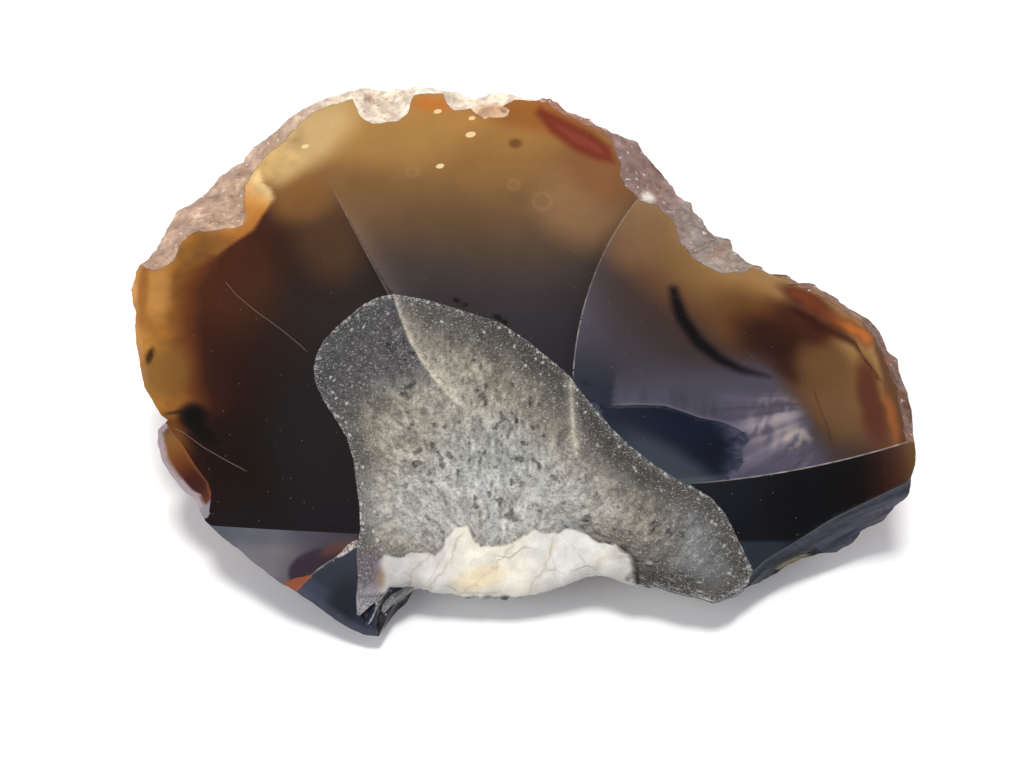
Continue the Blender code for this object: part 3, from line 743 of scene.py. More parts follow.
def faceTone(x, y, scar):
    # each scar has its own colours, and a triangle keeps the colours of the scar it lies in; the foot's
    # colours serve three scars, and the pocket and the blue lens count as scars 8 and 9
    tone = np.zeros(x.shape + (3,))
    makers = [middleTone, leftTone, rightTone, footTone, darkTone,
              cornerTone, footTone, footTone, pocketTone, lensTone]
    for index, maker in enumerate(makers):
        chosen = scar == index
        if chosen.any():
            tone[chosen] = maker(x[chosen], y[chosen])
    red = insideBy(x, y, [(7, 85.7), (10.9, 82.3), (14.9, 80.3), (18.3, 79.6), (17.6, 83.3), (14.4, 86.2),
                          (9.5, 88.9), (5, 91.5), (4, 90)])
    tone = paint(tone, (112, 42, 30), 0.85 * ease(red, -0.7, 1.1))
    return paint(tone, (146, 70, 58), 0.5 * ease(red, 1.0, 2.2))


def rindTone(x, y):
    # from pinkish cream at the upper left and top to purple gray at the upper right and rust at the right rim
    tone = paint((186, 156, 134), (252, 236, 214), ease(x, -42, -28))
    tone = dabs(tone, x, y, [((196, 170, 146), 0.7, -51, 70, 5, 4),
                             ((206, 160, 116), 0.8, -3.5, 90.2, 3.4, 1.6)])
    for colour, start, end in (((150, 96, 70), 2, 8), ((136, 110, 104), 15, 19), ((146, 134, 126), 27, 31)):
        tone = paint(tone, colour, ease(x, start, end))
    tone = paint(tone, (232, 224, 212), spot(x, y, 23.8, 72.9, 1.3, 0.9, -40))
    tone = paint(tone, (122, 82, 54), ease(x, 40, 46))
    return paint(tone, (104, 72, 54), ease(x, 56, 62))


def domeTone(points, deeper):
    # the rind colour at the rim turns to brown skin below it, and to dark bare glass under the foot
    x = points[:, 0] + 3 * deeper * solidNoise(points, 6, 301, 3)
    y = points[:, 1] + 3 * deeper * solidNoise(points, 6, 303, 3)
    tone = paint(rindTone(x, y), (150, 120, 100), deeper)
    bare = ease(38 - points[:, 1], 20, 32) * ease(points[:, 2], -18, -12)
    return paint(tone, (30, 31, 36), bare), bare


print("shape and colours defined")

# piece 1: the chalcedony with its scarred face

share, angle = squareToDisc(stone["cells"])
share, angle = share.ravel(), angle.ravel()
rimX, rimY = rimPoint(angle)
seenX, seenY = towardMiddle(stone, share, rimX, rimY)
inner = share < 0.995          # the rim itself stays where it is
for snapRound in range(2):
    low, nextLow, away, wayX, wayY, steep = ridgeOf(seenX, seenY)
    pull = (away < stone["ridgeReach"]) & inner & (steep > 0.05)
    seenX = seenX - np.where(pull, away * wayX, 0)
    seenY = seenY - np.where(pull, away * wayY, 0)
for outline in 2 * [stone["pocket"], stone["bevel"], stone["sideWall"], stone["feather"]]:
    movedX, movedY = snapTo(seenX, seenY, outline, stone["outlineReach"])
    seenX, seenY = np.where(inner, movedX, seenX), np.where(inner, movedY, seenY)
low, nextLow, away, wayX, wayY, steep = ridgeOf(seenX, seenY)
heartDepth = insideBy(seenX, seenY, heart["outline"])
level = faceLevel(seenX, seenY) - 0.9 * ease(heartDepth, 0.5, 1.6)
faceX, faceY = alongSight(seenX, seenY, level)
triangles = gridTriangles(stone["cells"], away)
print("face worked out:", len(triangles), "triangles")

border = borderOf(stone["cells"])
shares = (0.985, 0.94, 0.8, 0.6, 0.4, 0.2)
under = skinRings(angle[border], faceX[border], faceY[border], level[border], shares, sink=3.4)
pole = np.array([[stone["middle"][0], stone["middle"][1], -dome["depth"] + 2.0]])
rings = [border] + [len(faceX) + len(border) * step + np.arange(len(border)) for step in range(len(under))]
points = np.concatenate([np.stack([faceX, faceY, level], 1)] + under + [pole])
triangles = np.concatenate([triangles, ringsToPole(rings, len(points) - 1)])
agate = makePiece("agate_face", toWorld(*points.T), triangles, 11)

# the rings and the pole are hidden, so they get plain values in place of a spot on the face
padding = len(points) - len(seenX)
seenX, seenY = np.append(seenX, np.full(padding, 0.0)), np.append(seenY, np.full(padding, 48.0))
away = np.append(away, np.full(padding, 9.0))
cornerX, cornerY = seenX[triangles], seenY[triangles]
centreX, centreY = cornerX.mean(axis=1), cornerY.mean(axis=1)
scarHere = scarHeights(centreX, centreY).argmin(axis=0)
scarHere = np.where(insideBy(centreX, centreY, stone["pocket"]) > 0, 8, scarHere)
scarHere = np.where((scarHere == 2) & (insideBy(centreX, centreY, stone["feather"]) > 0), 9, scarHere)
setTones(agate, "stoneTone", faceTone(cornerX.ravel(), cornerY.ravel(), np.repeat(scarHere, 3)), "CORNER")
hiddenTone = domeTone(points[-padding:], np.ones(padding))[0]
setTones(agate, "rindTone", np.concatenate([rindTone(seenX, seenY)[:-padding], hiddenTone]), "POINT")

# lines drawn on the face: each is full between these two shares of its length and fades out at its ends
faceLines = {
    "crack": (0.12, 0.8, [
        [(-49.5, 58), (-46.6, 54.6), (-43.3, 51.8), (-38.5, 48.3), (-34.9, 45.3), (-32.5, 42.9)],
        [(-55.3, 31.7), (-52.9, 30.5), (-49.5, 28.1), (-45.2, 25.7), (-40.9, 23.5)],
        [(-5.3, 82.9), (-0.4, 84.7)],
    ]),
    "seam": (0.1, 0.9, [
        [(49.2, 38.0), (49.9, 34.7), (50.8, 31.8), (51.3, 28.3)],
        [(55.0, 47.6), (56.9, 46.0), (58.4, 42.7), (60.2, 40.0), (60.6, 38.2)],
    ]),
}
for name, (fullFrom, fadeFrom, paths) in faceLines.items():
    lineSide, lineNear = np.full(seenX.shape, 3.0), np.full(seenX.shape, 9.0)
    for path in paths:
        near, side, along = pathDistance(seenX, seenY, path)
        ends = ease(along, 0.0, fullFrom) * ease(along, 1.0, fadeFrom)
        nearer = near < lineNear
        lineSide = np.where(nearer, near * side, lineSide)
        lineNear = np.where(nearer, near + 2 * (1 - ends), lineNear)
    setNumbers(agate, name + "Side", np.clip(lineSide, -3, 3))
    setNumbers(agate, name + "Share", ease(lineNear, 1.6, 0.6))

crest = [(-34.9, 6.5), (-30.9, 7.5), (-28.9, 8.9), (-26.5, 10.9), (-24.9, 12.3), (-23.0, 13.0)]
near, side, along = pathDistance(seenX, seenY, crest)
setNumbers(agate, "crest", near - 0.02 - 0.55 * ease(along, 0.5, 0.9))
sliver = [(-35.6, 6.2), (-33.6, 7.3), (-31.4, 7.8), (-29.8, 8.1), (-31.2, 7.2), (-33.2, 5.0)]
setNumbers(agate, "sliver", insideBy(seenX, seenY, sliver))
setNumbers(agate, "wallDepth", insideBy(seenX, seenY, stone["sideWall"]))
streak = [(27.3, 55.4), (27.8, 52.7), (28.5, 50.2), (31, 46), (34.1, 43.1), (37.6, 41.2), (42.5, 39.9)]
near, side, along = pathDistance(seenX, seenY, streak)
wide = 1.25 * np.sqrt(np.clip((1 - along) / 0.55, 0, 1))
setNumbers(agate, "streak", near - wide * (0.75 + 0.25 * ease(along, 0, 0.15)))

bubbles = [(-36.8, 83.2, 0.75), (-7.4, 85.6, 1.0), (-12.7, 79.2, 0.8), (-13.4, 90.4, 0.8), (-7.2, 89.0, 0.7)]
bubble = np.full(seenX.shape, 9.0)
for x, y, size in bubbles:
    oval = np.hypot((seenX - x) * 0.8, (seenY - y) * 1.25 - 0.2 * (seenX - x))
    bubble = np.minimum(bubble, oval - size * 0.72)
setNumbers(agate, "bubble", bubble)

rind = rindDepthOf(seenX, seenY)
rind[-padding:] = 5
setNumbers(agate, "rindDepth", rind)
setNumbers(agate, "ridgeNear", np.clip(away, 0, 4))

# how brightly each ridge catches the light, by the two scars that meet there
ridgeX, ridgeY = seenX[:-padding], seenY[:-padding]
glint = 0.6 + 0.4 * waveNoise(ridgeX, ridgeY, 0.8, 171)
ridgeLight = 0
for scarPair, strength in (
    ((0, 1), 0.16 * ease(ridgeY, 78, 70)),
    ((0, 2), 0.28 + 0.3 * ease(ridgeY, 62, 48)),
    ((2, 4), 0.68 * ease(ridgeX, 24, 44)),
    ((5, 6), 0.5),
):
    onRidge = (np.minimum(low, nextLow) == scarPair[0]) & (np.maximum(low, nextLow) == scarPair[1])
    ridgeLight = ridgeLight + strength * onRidge * glint
setNumbers(agate, "ridgeLight", np.append(ridgeLight, np.zeros(padding)))
print("chalcedony face made")

# piece 2: the quartz heart, a plate of broken crystals on the scars

share, angle = squareToDisc(heart["cells"])
share, angle = share.ravel(), angle.ravel()
rim = radiusToward(heart["outline"], heart["middle"], angle)
rimX, rimY = aroundMiddle(heart, rim, angle)
rim = rim + 0.22 * roughNoise(rimX, rimY, 1.1, 91, 3)
seenX, seenY = aroundMiddle(heart, share * rim, angle)
seenX, seenY = relaxed(seenX, heart["cells"], 120), relaxed(seenY, heart["cells"], 120)
depth = insideBy(seenX, seenY, heart["outline"])
band = insideBy(seenX, seenY, heart["bandTop"])
band = band + 0.25 * roughNoise(seenX, seenY, 1.2, 93, 3) * (np.abs(band) < 2)


def fibres(x, y, width, length, salt):
    # streaks that point away from the lower middle: four turned sets of stretched waves, blended by direction
    aim = np.arctan2(y - 5 + 0.9 * np.maximum(x, 0) - 0.6 * np.maximum(-x - 8, 0), x + 2)
    total, weight = 0, 0
    for step in range(4):
        turn = math.pi / 4 * step
        along = (x * math.cos(turn) + y * math.sin(turn)) / length
        over = (y * math.cos(turn) - x * math.sin(turn)) / width
        share = np.cos(aim - turn) ** 8
        total = total + share * waveNoise(along, over, 1.0, salt + step)
        weight = weight + share
    return total / weight


def facet(offX, offY, tag, slope):
    # each grain is a small plane, tilted its own way
    turn = tag * 61.7
    return slope * (offX * np.cos(turn) + offY * np.sin(turn))


# fine grains at the rim grow to long streaky crystals inside
coarse = ease(depth, 2.0, 9.0)
longest = fibres(seenX, seenY, 1.3, 2.6, 101)
long = fibres(seenX, seenY, 0.62, 1.3, 105)
short = fibres(seenX, seenY, 0.36, 0.62, 109)
fineX, fineY, fineTag, fineEdge = grains(seenX, seenY, 0.5, 121)
voids = fibres(seenX, seenY, 0.85, 1.3, 115) + 0.4 * roughNoise(seenX, seenY, 1.1, 117, 3)
voids = ease(voids, 0.42, 0.8) * ease(depth, 4, 9)
bandX, bandY, bandTag = grains(seenX * 0.8 - 0.5 * seenY, seenY + 0.2 * seenX, 4.6, 131)[:3]

relief = coarse * (0.16 * longest + 0.15 * long) + (0.4 + 0.6 * coarse) * 0.09 * short - 0.22 * voids
relief = relief + 0.07 * (fineTag - 0.5) + facet(fineX, fineY, fineTag, 0.20)
bandRelief = 0.5 + facet(bandX, bandY, bandTag, 0.05) + 0.14 * roughNoise(seenX, seenY, 2.2, 95, 5)
inBand = ease(band, -0.15, 0.3)
relief = relief * (1 - inBand) + bandRelief * inBand
edgeDrop = ease(depth, 0.0, 0.45)
base = faceLevel(seenX, seenY)
base = base + (roundedLevel(seenX, seenY) - scarHeights(seenX, seenY).min(axis=0)) * ease(depth, 0.3, 3.0)
level = base + (heart["stand"] + relief) * edgeDrop - 0.3 * (1 - edgeDrop)
heartX, heartY = alongSight(seenX, seenY, level)
triangles = gridTriangles(heart["cells"], np.zeros(len(level)))
border = borderOf(heart["cells"])
rings, points = [border], [np.stack([heartX, heartY, level], 1)]
for step, (inward, sink) in enumerate([(0.985, 0.8), (0.7, 1.3), (0.35, 1.4)]):
    x, y = towardMiddle(heart, inward, heartX[border], heartY[border])
    points.append(np.stack([x, y, scarHeights(x, y).min(axis=0) - sink], 1))
    rings.append(len(level) + len(border) * step + np.arange(len(border)))
points = np.concatenate(points + [np.array([[heart["middle"][0], heart["middle"][1], -3.6]])])
triangles = np.concatenate([triangles, ringsToPole(rings, len(points) - 1)])
quartz = makePiece("quartz_heart", toWorld(*points.T), triangles, 24)

nearA, sideA, alongA = pathDistance(seenX, seenY, ridgeA)
nearB, alongB = pathDistance(seenX, seenY, ridgeB)[::2]
inward = depth * (1 + 0.9 * ease(-seenX, 14, 22) * ease(36 - seenY, 0, 6))
tone = rampTone(inward + 0.8 * longest, tones["heart"])
tone = paint(tone, (178, 176, 170), 0.85 * spot(seenX, seenY, -4, 19, 19, 8))
tone = paint(tone, (116, 118, 120), 0.8 * ease(seenX + 0.3 * (12 - seenY), 19, 29))
tone = paint(tone, (158, 160, 156), 0.6 * spot(seenX, seenY, -3, 27, 8, 6))
tone = paint(tone, (56, 53, 50), 0.75 * ease(depth, 5.5, 1.5) * ease(seenX + 0.6 * seenY, 18, 28))
shade = ease(nearA * sideA, 0.25, -0.25) * ease(seenY - 0.4 * seenX, 42, 50)
tone = paint(tone, (64, 62, 67), 0.85 * shade)
tone = tone * (1 + 0.10 * longest + 0.20 * long * (0.4 + 0.6 * coarse) + 0.16 * short)[..., None]
tone = tone * (1 - 0.36 * voids)[..., None]
glassy = ease(fibres(seenX, seenY, 1.5, 3.2, 141), 0.35, 0.6) * spot(seenX, seenY, -2, 19, 17, 6.5)
tone = paint(tone, (172, 176, 176), 0.65 * glassy)
litEdge = np.exp(-nearA / 0.8) * ease(nearA * sideA, -0.3, 0.1)
litEdge = litEdge * ease(alongA, 0.46, 0.52) * ease(alongA, 1.0, 0.9)
litEdge = np.maximum(litEdge, np.exp(-nearB / 0.6) * ease(alongB, 1.0, 0.9) * (seenY < 41))
tone = paint(tone, (224, 214, 194), litEdge * (0.75 + 0.25 * waveNoise(seenX, seenY, 0.6, 251)))
rimLine = ease(depth, 1.1, 0.3)
sparkle = (fineTag > 0.975 - 0.3 * rimLine) * ease(fineEdge, 0.02, 0.12) * (0.45 + 0.5 * (depth < 4))
tone = paint(tone, (218, 218, 212), 0.7 * sparkle)
chalk = paint((216, 213, 209), (233, 227, 212), ease(seenX, -12, -6))
chalk = paint(chalk, (219, 217, 210), ease(seenX, 1, 5))
chalk = chalk * (0.97 + 0.05 * roughNoise(seenX, seenY, 1.6, 97, 4) + 0.02 * (bandTag - 0.5))[..., None]
bandCracks = [
    [(-8.2, 5.0), (-5.5, 6.6), (-3.4, 8.2), (-1.2, 10.9), (1.6, 14.2)], [(2.5, 5.4), (4.6, 8.6), (6.4, 13.4)],
    [(-12.5, 6.0), (-9.6, 9.8), (-8.0, 14.5)], [(-15.8, 6.2), (-14.6, 9.4), (-12.2, 11.4)],
    [(13.0, 8.4), (13.8, 10.4), (16.8, 11.9)],
]
wander = 0.25 * roughNoise(seenX, seenY, 1.1, 191, 3)
for crack in bandCracks:
    near = pathDistance(seenX + wander, seenY - wander, crack)[0]
    chalk = paint(chalk, (128, 112, 92), 0.45 * np.exp(-near / 0.12))
    chalk = paint(chalk, (214, 200, 176), 0.3 * np.exp(-near / 0.7))
chalk = dabs(chalk, seenX, seenY, [((222, 198, 146), 0.45, -5.0, 7.4, 4.0, 1.6, 14),
                                   ((170, 132, 92), 0.85, -20.6, 7.4, 1.1, 1.6)])
chalk = paint(chalk, (176, 172, 164), 0.5 * ease(seenX, 14.5, 17))
chalk = chalk * (1 - 0.14 * ease(depth, 2.6, 0.4) - 0.10 * ease(-seenX, 12, 16))[..., None]
tone = paint(tone, chalk, inBand)
rib = ease(-seenX, 19.6, 21.0) * ease(12.5 - seenY, 0, 2)
ribTone = paint((96, 86, 94), (144, 142, 148), ease(8.5 - seenY, 0, 5))
tone = paint(tone, ribTone, 0.85 * rib)
speckle = (0.9 * ease(depth, 1.8, 0.5) + 0.24 * ease(depth, 7.0, 2.0)) * (1 - inBand)
speckle = np.maximum(speckle * (1 - rib), rib * (0.3 + 0.6 * ease(8 - seenY, 0, 5)))
padding = len(points) - len(seenX)
setTones(quartz, "quartzTone", np.concatenate([tone, np.full((padding, 3), 120.0)]), "POINT")
setNumbers(quartz, "speckle", np.append(speckle, np.zeros(padding)))
setNumbers(quartz, "bandShare", np.append(inBand, np.zeros(padding)))
print("quartz heart made:", len(triangles), "triangles")

# piece 3: the rough rind on the dome, a shell from the rim down to the resting spot

skin = {"around": 1100, "rings": 74, "wart": 0.5, "pit": 0.6}
angle = np.linspace(-math.pi, math.pi, skin["around"], endpoint=False)
rimX, rimY = rimPoint(angle)
rimLevel = faceLevel(rimX, rimY)
rimX, rimY = alongSight(rimX, rimY, rimLevel)
rimLevel = rimLevel - 0.03
shares = 1 - np.linspace(0, 1, skin["rings"] + 1)[:-1] ** 1.5
rim = np.stack([rimX, rimY, rimLevel], 1)
outer = np.concatenate([rim] + skinRings(angle, rimX, rimY, rimLevel, shares[1:]))
centre = np.array([stone["middle"][0], stone["middle"][1], -4.0])
outward = outer - centre
outward = outward / np.linalg.norm(outward, axis=1)[:, None]
ringShare = np.repeat(shares, skin["around"])
calm = ease(1 - ringShare, 0.0, 0.012) * ease(outer[:, 1], 8, 20)
warts = solidNoise(outer, 5.5, 141, 4) * skin["wart"] + solidNoise(outer, 1.4, 151, 3) * 0.16
pits = -skin["pit"] * ease(solidNoise(outer, 3.2, 161, 2), 0.35, 0.75)
outer = outer + outward * ((warts + pits) * calm)[:, None]
inner = skinRings(angle, rimX, rimY, rimLevel, (0.96, 0.8, 0.55, 0.25), sink=5.0)
around = np.arange(skin["around"])
rings = [around + skin["around"] * step for step in range(skin["rings"] + len(inner))]
poles = np.array([[0, 48.0, skinLevel(0.0, 0.0, 0.0, 48.0, 0.0)], [0, 48.0, -dome["depth"] + 3.0]])
points = np.concatenate([outer] + inner + [poles])
outside = ringsToPole(rings[: skin["rings"]], len(points) - 2)
inside = ringsToPole([rings[0]] + rings[skin["rings"] :], len(points) - 1)[:, ::-1]
triangles = np.concatenate([outside, inside])
rindSkin = makePiece("rind_skin", toWorld(*points.T), triangles, 40)
deeper = np.append(ease(1 - ringShare, 0.001, 0.03), np.ones(len(points) - len(ringShare)))
skinTone, bare = domeTone(points, deeper)
underBand = ease(points[:, 0], -15.5, -14) * ease(points[:, 0], 34, 26) * ease(points[:, 1], 12, 8)
skinTone = paint(skinTone, (222, 217, 208), underBand)
setTones(rindSkin, "rindTone", skinTone, "POINT")
setNumbers(rindSkin, "bare", bare * (1 - underBand))
print("rind skin made:", len(triangles), "triangles")

# finishes


def addNode(tree, kind, **settings):
    # a shader node; each setting goes to the node itself, or else to its input of that name
    node = tree.nodes.new(kind)
    for name, value in settings.items():
        if hasattr(node, name):
            setattr(node, name, value)
        else:
            node.inputs[name.replace("_", " ")].default_value = value
    return node


def newFinish(name, roughness, ior):
    # a new material, its tree and its surface
    material = bpy.data.materials.new(name)
    material.use_nodes = True
    surface = material.node_tree.nodes["Principled BSDF"]
    surface.inputs["Roughness"].default_value = roughness
    surface.inputs["IOR"].default_value = ior
    return material, material.node_tree, surface


def numberOf(tree, name):
    # the numbers that setNumbers left on the piece
    return addNode(tree, "ShaderNodeAttribute", attribute_name=name).outputs["Fac"]


def shareOf(tree, value, start, end, low=0.0, high=1.0):
    # a smooth step between two values
    node = addNode(tree, "ShaderNodeMapRange", interpolation_type="SMOOTHSTEP")
    tree.links.new(value, node.inputs["Value"])
    for name, number in (("From Min", start), ("From Max", end), ("To Min", low), ("To Max", high)):
        node.inputs[name].default_value = number
    return node.outputs["Result"]


def times(tree, first, second):
    # first * second
    node = addNode(tree, "ShaderNodeMath", operation="MULTIPLY")
    tree.links.new(first, node.inputs[0])
    if isinstance(second, (int, float)):
        node.inputs[1].default_value = second
    else:
        tree.links.new(second, node.inputs[1])
    return node.outputs[0]


def mixed(tree, share, under, over, way="MIX"):
    # over, or a plain screen tone, laid on under by the share
    node = addNode(tree, "ShaderNodeMix", data_type="RGBA", blend_type=way)
    slots = {socket.identifier: socket for socket in node.inputs}
    for value, slot in ((share, "Factor_Float"), (under, "A_Color"), (over, "B_Color")):
        if isinstance(value, (int, float)):
            slots[slot].default_value = value
        elif isinstance(value, tuple):
            slots[slot].default_value = (*toLinear(value), 1)
        else:
            tree.links.new(value, slots[slot])
    return [socket for socket in node.outputs if socket.identifier == "Result_Color"][0]


def toneOf(tree, name):
    # the colours that setTones left on the piece
    return addNode(tree, "ShaderNodeAttribute", attribute_name=name).outputs["Color"]


def noiseOf(tree, scale, detail=4.0, roughness=0.55, squash=(1, 1, 1), distortion=0.0):
    # cloudy noise, about 0 to 1, stretched by the squash of each axis
    place = addNode(tree, "ShaderNodeTexCoord").outputs["Object"]
    if squash != (1, 1, 1):
        stretch = addNode(tree, "ShaderNodeMapping")
        stretch.inputs["Scale"].default_value = squash
        tree.links.new(place, stretch.inputs["Vector"])
        place = stretch.outputs["Vector"]
    node = addNode(tree, "ShaderNodeTexNoise", Scale=scale, Detail=detail, Roughness=roughness,
                   Distortion=distortion)
    tree.links.new(place, node.inputs["Vector"])
    return node.outputs["Fac"]


def speckled(tree, colour, layers, within=None):
    # patches laid on in turn: the noise's settings, its values at no patch and full patch, the share of a
    # full patch, and its tone
    for noise, empty, full, most, *tone in layers:
        share = shareOf(tree, noiseOf(tree, *noise), empty, full, 0, most)
        if within is not None:
            share = times(tree, share, within)
        colour = mixed(tree, share, colour, *tone)
    return colour


def marked(tree, colour, share, most, tone):
    # one tone laid on by a share, and by no more than most
    return mixed(tree, times(tree, share, most), colour, tone)


def bumpOf(tree, surface, height, distance):
    # tilts the shading by a height
    node = addNode(tree, "ShaderNodeBump", Distance=distance, Strength=1.0)
    tree.links.new(height, node.inputs["Height"])
    tree.links.new(node.outputs["Normal"], surface.inputs["Normal"])


def rindColours(tree):
    # the tone of the place with crumbs, milky patches, rusty seams, dark pores and small painted glints
    return speckled(tree, toneOf(tree, "rindTone"), [
        ((420, 5), 0.62, 0.40, 0.42, (84, 60, 56)),
        ((260, 4, 0.6), 0.52, 0.66, 0.55, (255, 250, 246), "OVERLAY"),
        ((150, 4, 0.6, (1, 1, 1), 0.6), 0.56, 0.72, 0.5, (150, 98, 66)),
        ((900, 3), 0.60, 0.72, 0.45, (70, 50, 46)),
        # painted glints
        ((1300, 2, 0.5, (1, 1, 0.5)), 0.64, 0.74, 0.6, (248, 240, 232)),
    ])


material, tree, surface = newFinish("glassy_chalcedony", 0.11, 1.54)
colour = speckled(tree, toneOf(tree, "stoneTone"), [((60, 5, 0.6), 0.35, 0.65, 0.16, (22, 18, 18))])
colour = mixed(tree, shareOf(tree, numberOf(tree, "streak"), 0.75, -0.95, 0, 0.96), colour, (8, 8, 12))
ridgeLine = shareOf(tree, numberOf(tree, "ridgeNear"), 0.16, 0.03)
colour = marked(tree, colour, ridgeLine, numberOf(tree, "ridgeLight"), (196, 186, 178))
for name, halfWidth, core, most, tone in (
    ("crack", 0.10, 0.01, 0.42, (150, 128, 114)),
    ("seam", 0.20, 0.02, 0.5, (44, 20, 12)),
):
    offLine = addNode(tree, "ShaderNodeMath", operation="ABSOLUTE")
    tree.links.new(numberOf(tree, name + "Side"), offLine.inputs[0])
    line = times(tree, shareOf(tree, offLine.outputs[0], halfWidth, core), numberOf(tree, name + "Share"))
    colour = marked(tree, colour, line, most, tone)
colour = mixed(tree, shareOf(tree, numberOf(tree, "sliver"), -0.03, 0.05), colour, (134, 74, 50))
grit = shareOf(tree, noiseOf(tree, 2600, 3), 0.40, 0.60, 0.1, 0.9)
colour = marked(tree, colour, shareOf(tree, numberOf(tree, "crest"), 0.10, -0.12), grit, (208, 194, 188))
dust = addNode(tree, "ShaderNodeTexVoronoi", feature="F1", Scale=520)
tree.links.new(addNode(tree, "ShaderNodeTexCoord").outputs["Object"], dust.inputs["Vector"])
colour = mixed(tree, shareOf(tree, dust.outputs["Distance"], 0.075, 0.03, 0, 0.2), colour, (170, 160, 156))
colour = marked(tree, colour, shareOf(tree, numberOf(tree, "bubble"), 0.12, -0.08), 0.9, (232, 204, 152))
rindShare = shareOf(tree, numberOf(tree, "rindDepth"), -0.04, 0.10)
colour = marked(tree, colour, rindShare, 0.88, rindColours(tree))
tree.links.new(colour, surface.inputs["Base Color"])
tree.links.new(shareOf(tree, rindShare, 0.0, 1.0, 0.11, 0.34), surface.inputs["Roughness"])
wallShine = shareOf(tree, numberOf(tree, "wallDepth"), 0.0, 0.3, 0.5, 0.15)
tree.links.new(wallShine, surface.inputs["Specular IOR Level"])
bumpOf(tree, surface, times(tree, noiseOf(tree, 700, 4), rindShare), 0.0004)
agate.data.materials.append(material)

material, tree, surface = newFinish("sparkling_quartz", 0.34, 1.54)
inQuartz = shareOf(tree, numberOf(tree, "bandShare"), 1, 0, 0.15, 1.0)
colour = speckled(tree, toneOf(tree, "quartzTone"), [
    ((2400, 3), 0.46, 0.66, 0.4, (56, 55, 50)),
    ((3000, 2), 0.56, 0.72, 0.4, (214, 212, 204)),
], inQuartz)
salt = shareOf(tree, noiseOf(tree, 5600, 2), 0.56, 0.68)
pepper = shareOf(tree, noiseOf(tree, 4600, 2, 0.5, (1, 1, 1.1)), 0.48, 0.38)
for grain, most, tone in ((salt, 0.75, (206, 205, 200)), (pepper, 0.6, (34, 34, 36))):
    colour = marked(tree, colour, times(tree, grain, numberOf(tree, "speckle")), most, tone)
tree.links.new(colour, surface.inputs["Base Color"])
tree.links.new(shareOf(tree, numberOf(tree, "bandShare"), 0, 1, 0.26, 0.55), surface.inputs["Roughness"])
bumpOf(tree, surface, noiseOf(tree, 2200, 2), 0.0001)
quartz.data.materials.append(material)

material, tree, surface = newFinish("rough_rind", 0.6, 1.5)
colour = speckled(tree, rindColours(tree), [
    ((38, 5, 0.6), 0.46, 0.60, 0.75, (126, 84, 58)),
    ((90, 4, 0.6), 0.57, 0.68, 0.7, (84, 52, 40)),
])
bareShare = shareOf(tree, numberOf(tree, "bare"), 0.3, 0.7)
# bare dark glass with fine pale streaks of painted glint
glassy = speckled(tree, (22, 25, 33), [((520, 4, 0.6, (1, 1, 0.4)), 0.62, 0.72, 0.4, (84, 90, 106))])
colour = mixed(tree, bareShare, colour, glassy)
tree.links.new(colour, surface.inputs["Base Color"])
tree.links.new(shareOf(tree, bareShare, 0, 1, 0.6, 0.3), surface.inputs["Roughness"])
bumpOf(tree, surface, noiseOf(tree, 300, 7, 0.68), 0.0022)
rindSkin.data.materials.append(material)
print("finishes made")

for piece, slot in ((agate, "carnelian"), (quartz, "quartz"), (rindSkin, "rind")):
    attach(piece, "root")
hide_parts("carnelian_nodule")

# floor, light and camera

room = {"floorHalf": 6.0, "floorTone": 0.96, "skyLow": 1.02, "skyHigh": 0.10}
floorMesh = bpy.data.meshes.new("floor")
half = room["floorHalf"]
corners = [(-half, -half, 0), (half, -half, 0), (half, half, 0), (-half, half, 0)]
floorMesh.from_pydata(corners, [], [(0, 1, 2, 3)])
floor = bpy.data.objects.new("floor", floorMesh)
bpy.context.scene.collection.objects.link(floor)
material, tree, surface = newFinish("white_paper", 0.9, 1.45)
surface.inputs["Base Color"].default_value = (room["floorTone"], room["floorTone"], room["floorTone"], 1)
surface.inputs["Specular IOR Level"].default_value = 0.0
floorMesh.materials.append(material)

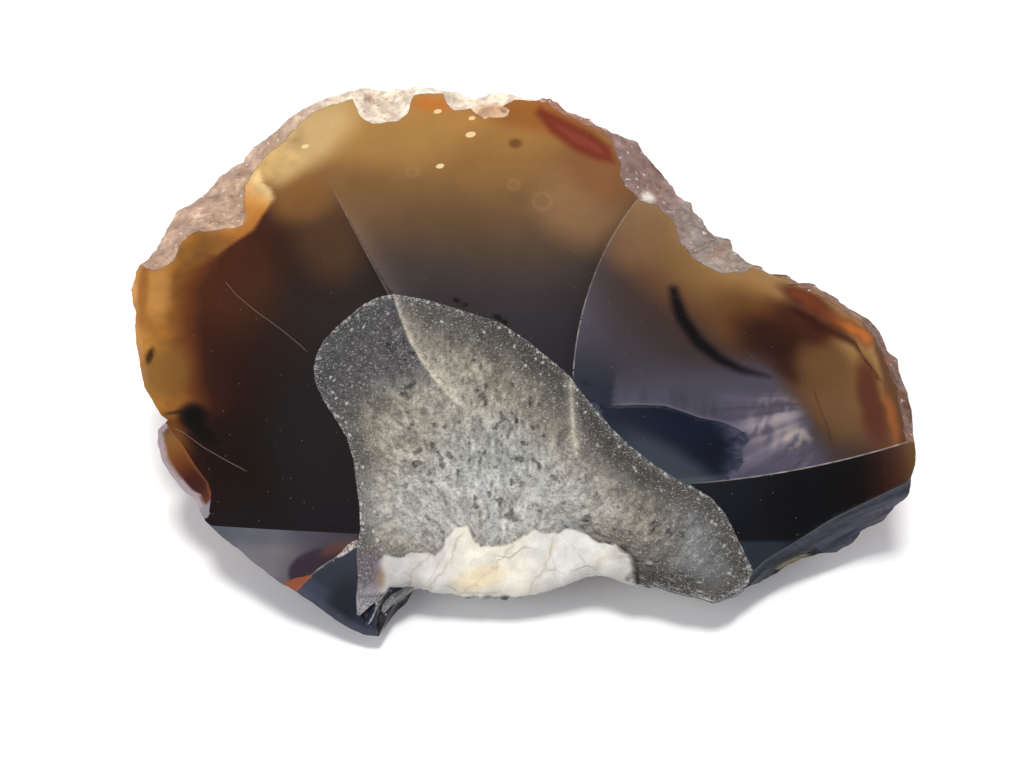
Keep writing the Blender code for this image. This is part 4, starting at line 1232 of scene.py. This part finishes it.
world = bpy.data.worlds.new("soft_studio")
bpy.context.scene.world = world
world.use_nodes = True
tree = world.node_tree
sky = tree.nodes["Background"]
direction = addNode(tree, "ShaderNodeTexCoord").outputs["Generated"]
split = addNode(tree, "ShaderNodeSeparateXYZ")
tree.links.new(direction, split.inputs["Vector"])
ramp = addNode(tree, "ShaderNodeValToRGB")
ramp.color_ramp.elements[0].position = 0.5
ramp.color_ramp.elements[0].color = (room["skyLow"] * 0.98, room["skyLow"] * 0.99, room["skyLow"] * 1.04, 1)
ramp.color_ramp.elements[1].position = 0.9
ramp.color_ramp.elements[1].color = (room["skyHigh"], room["skyHigh"], room["skyHigh"] * 1.1, 1)
tree.links.new(split.outputs["Z"], ramp.inputs["Fac"])
tree.links.new(ramp.outputs["Color"], sky.inputs["Color"])
sky.inputs["Strength"].default_value = 1.0


def softBox(name, place, size, power, aim=(0.0, 0.0, 0.01), tint=(1, 1, 1)):
    # an area lamp turned towards the stone
    lamp = bpy.data.lights.new(name, "AREA")
    lamp.shape = "RECTANGLE"
    lamp.size, lamp.size_y = size
    lamp.energy = power
    lamp.color = tint
    holder = bpy.data.objects.new(name, lamp)
    holder.location = place
    away = np.array(place) - np.array(aim)
    flatRun = math.hypot(away[0], away[1])
    holder.rotation_euler = (math.atan2(flatRun, away[2]), 0, math.atan2(away[0], -away[1]))
    bpy.context.scene.collection.objects.link(holder)
    return holder


key = softBox("key_light", (-0.03, 0.17, 0.84), (0.22, 0.18), 5.0, tint=(1.0, 0.98, 0.95))
key.visible_glossy = False     # so that the glassy face keeps its depth, and mirrors only the soft sky
fill = softBox("fill_light", (-0.7, -0.35, 0.5), (0.6, 0.6), 1.5)
fill.visible_glossy = False

camera = bpy.data.cameras.new("camera")
camera.lens = 33.4
camera.sensor_width = 36
camera.clip_start = 0.005
cameraHolder = bpy.data.objects.new("camera", camera)
cameraHolder.location = (-0.0003, -0.1159, 0.1358)
cameraHolder.rotation_euler = (math.radians(43), 0, 0)
bpy.context.scene.collection.objects.link(cameraHolder)
bpy.context.scene.camera = cameraHolder
bpy.context.scene.view_settings.view_transform = "Standard"
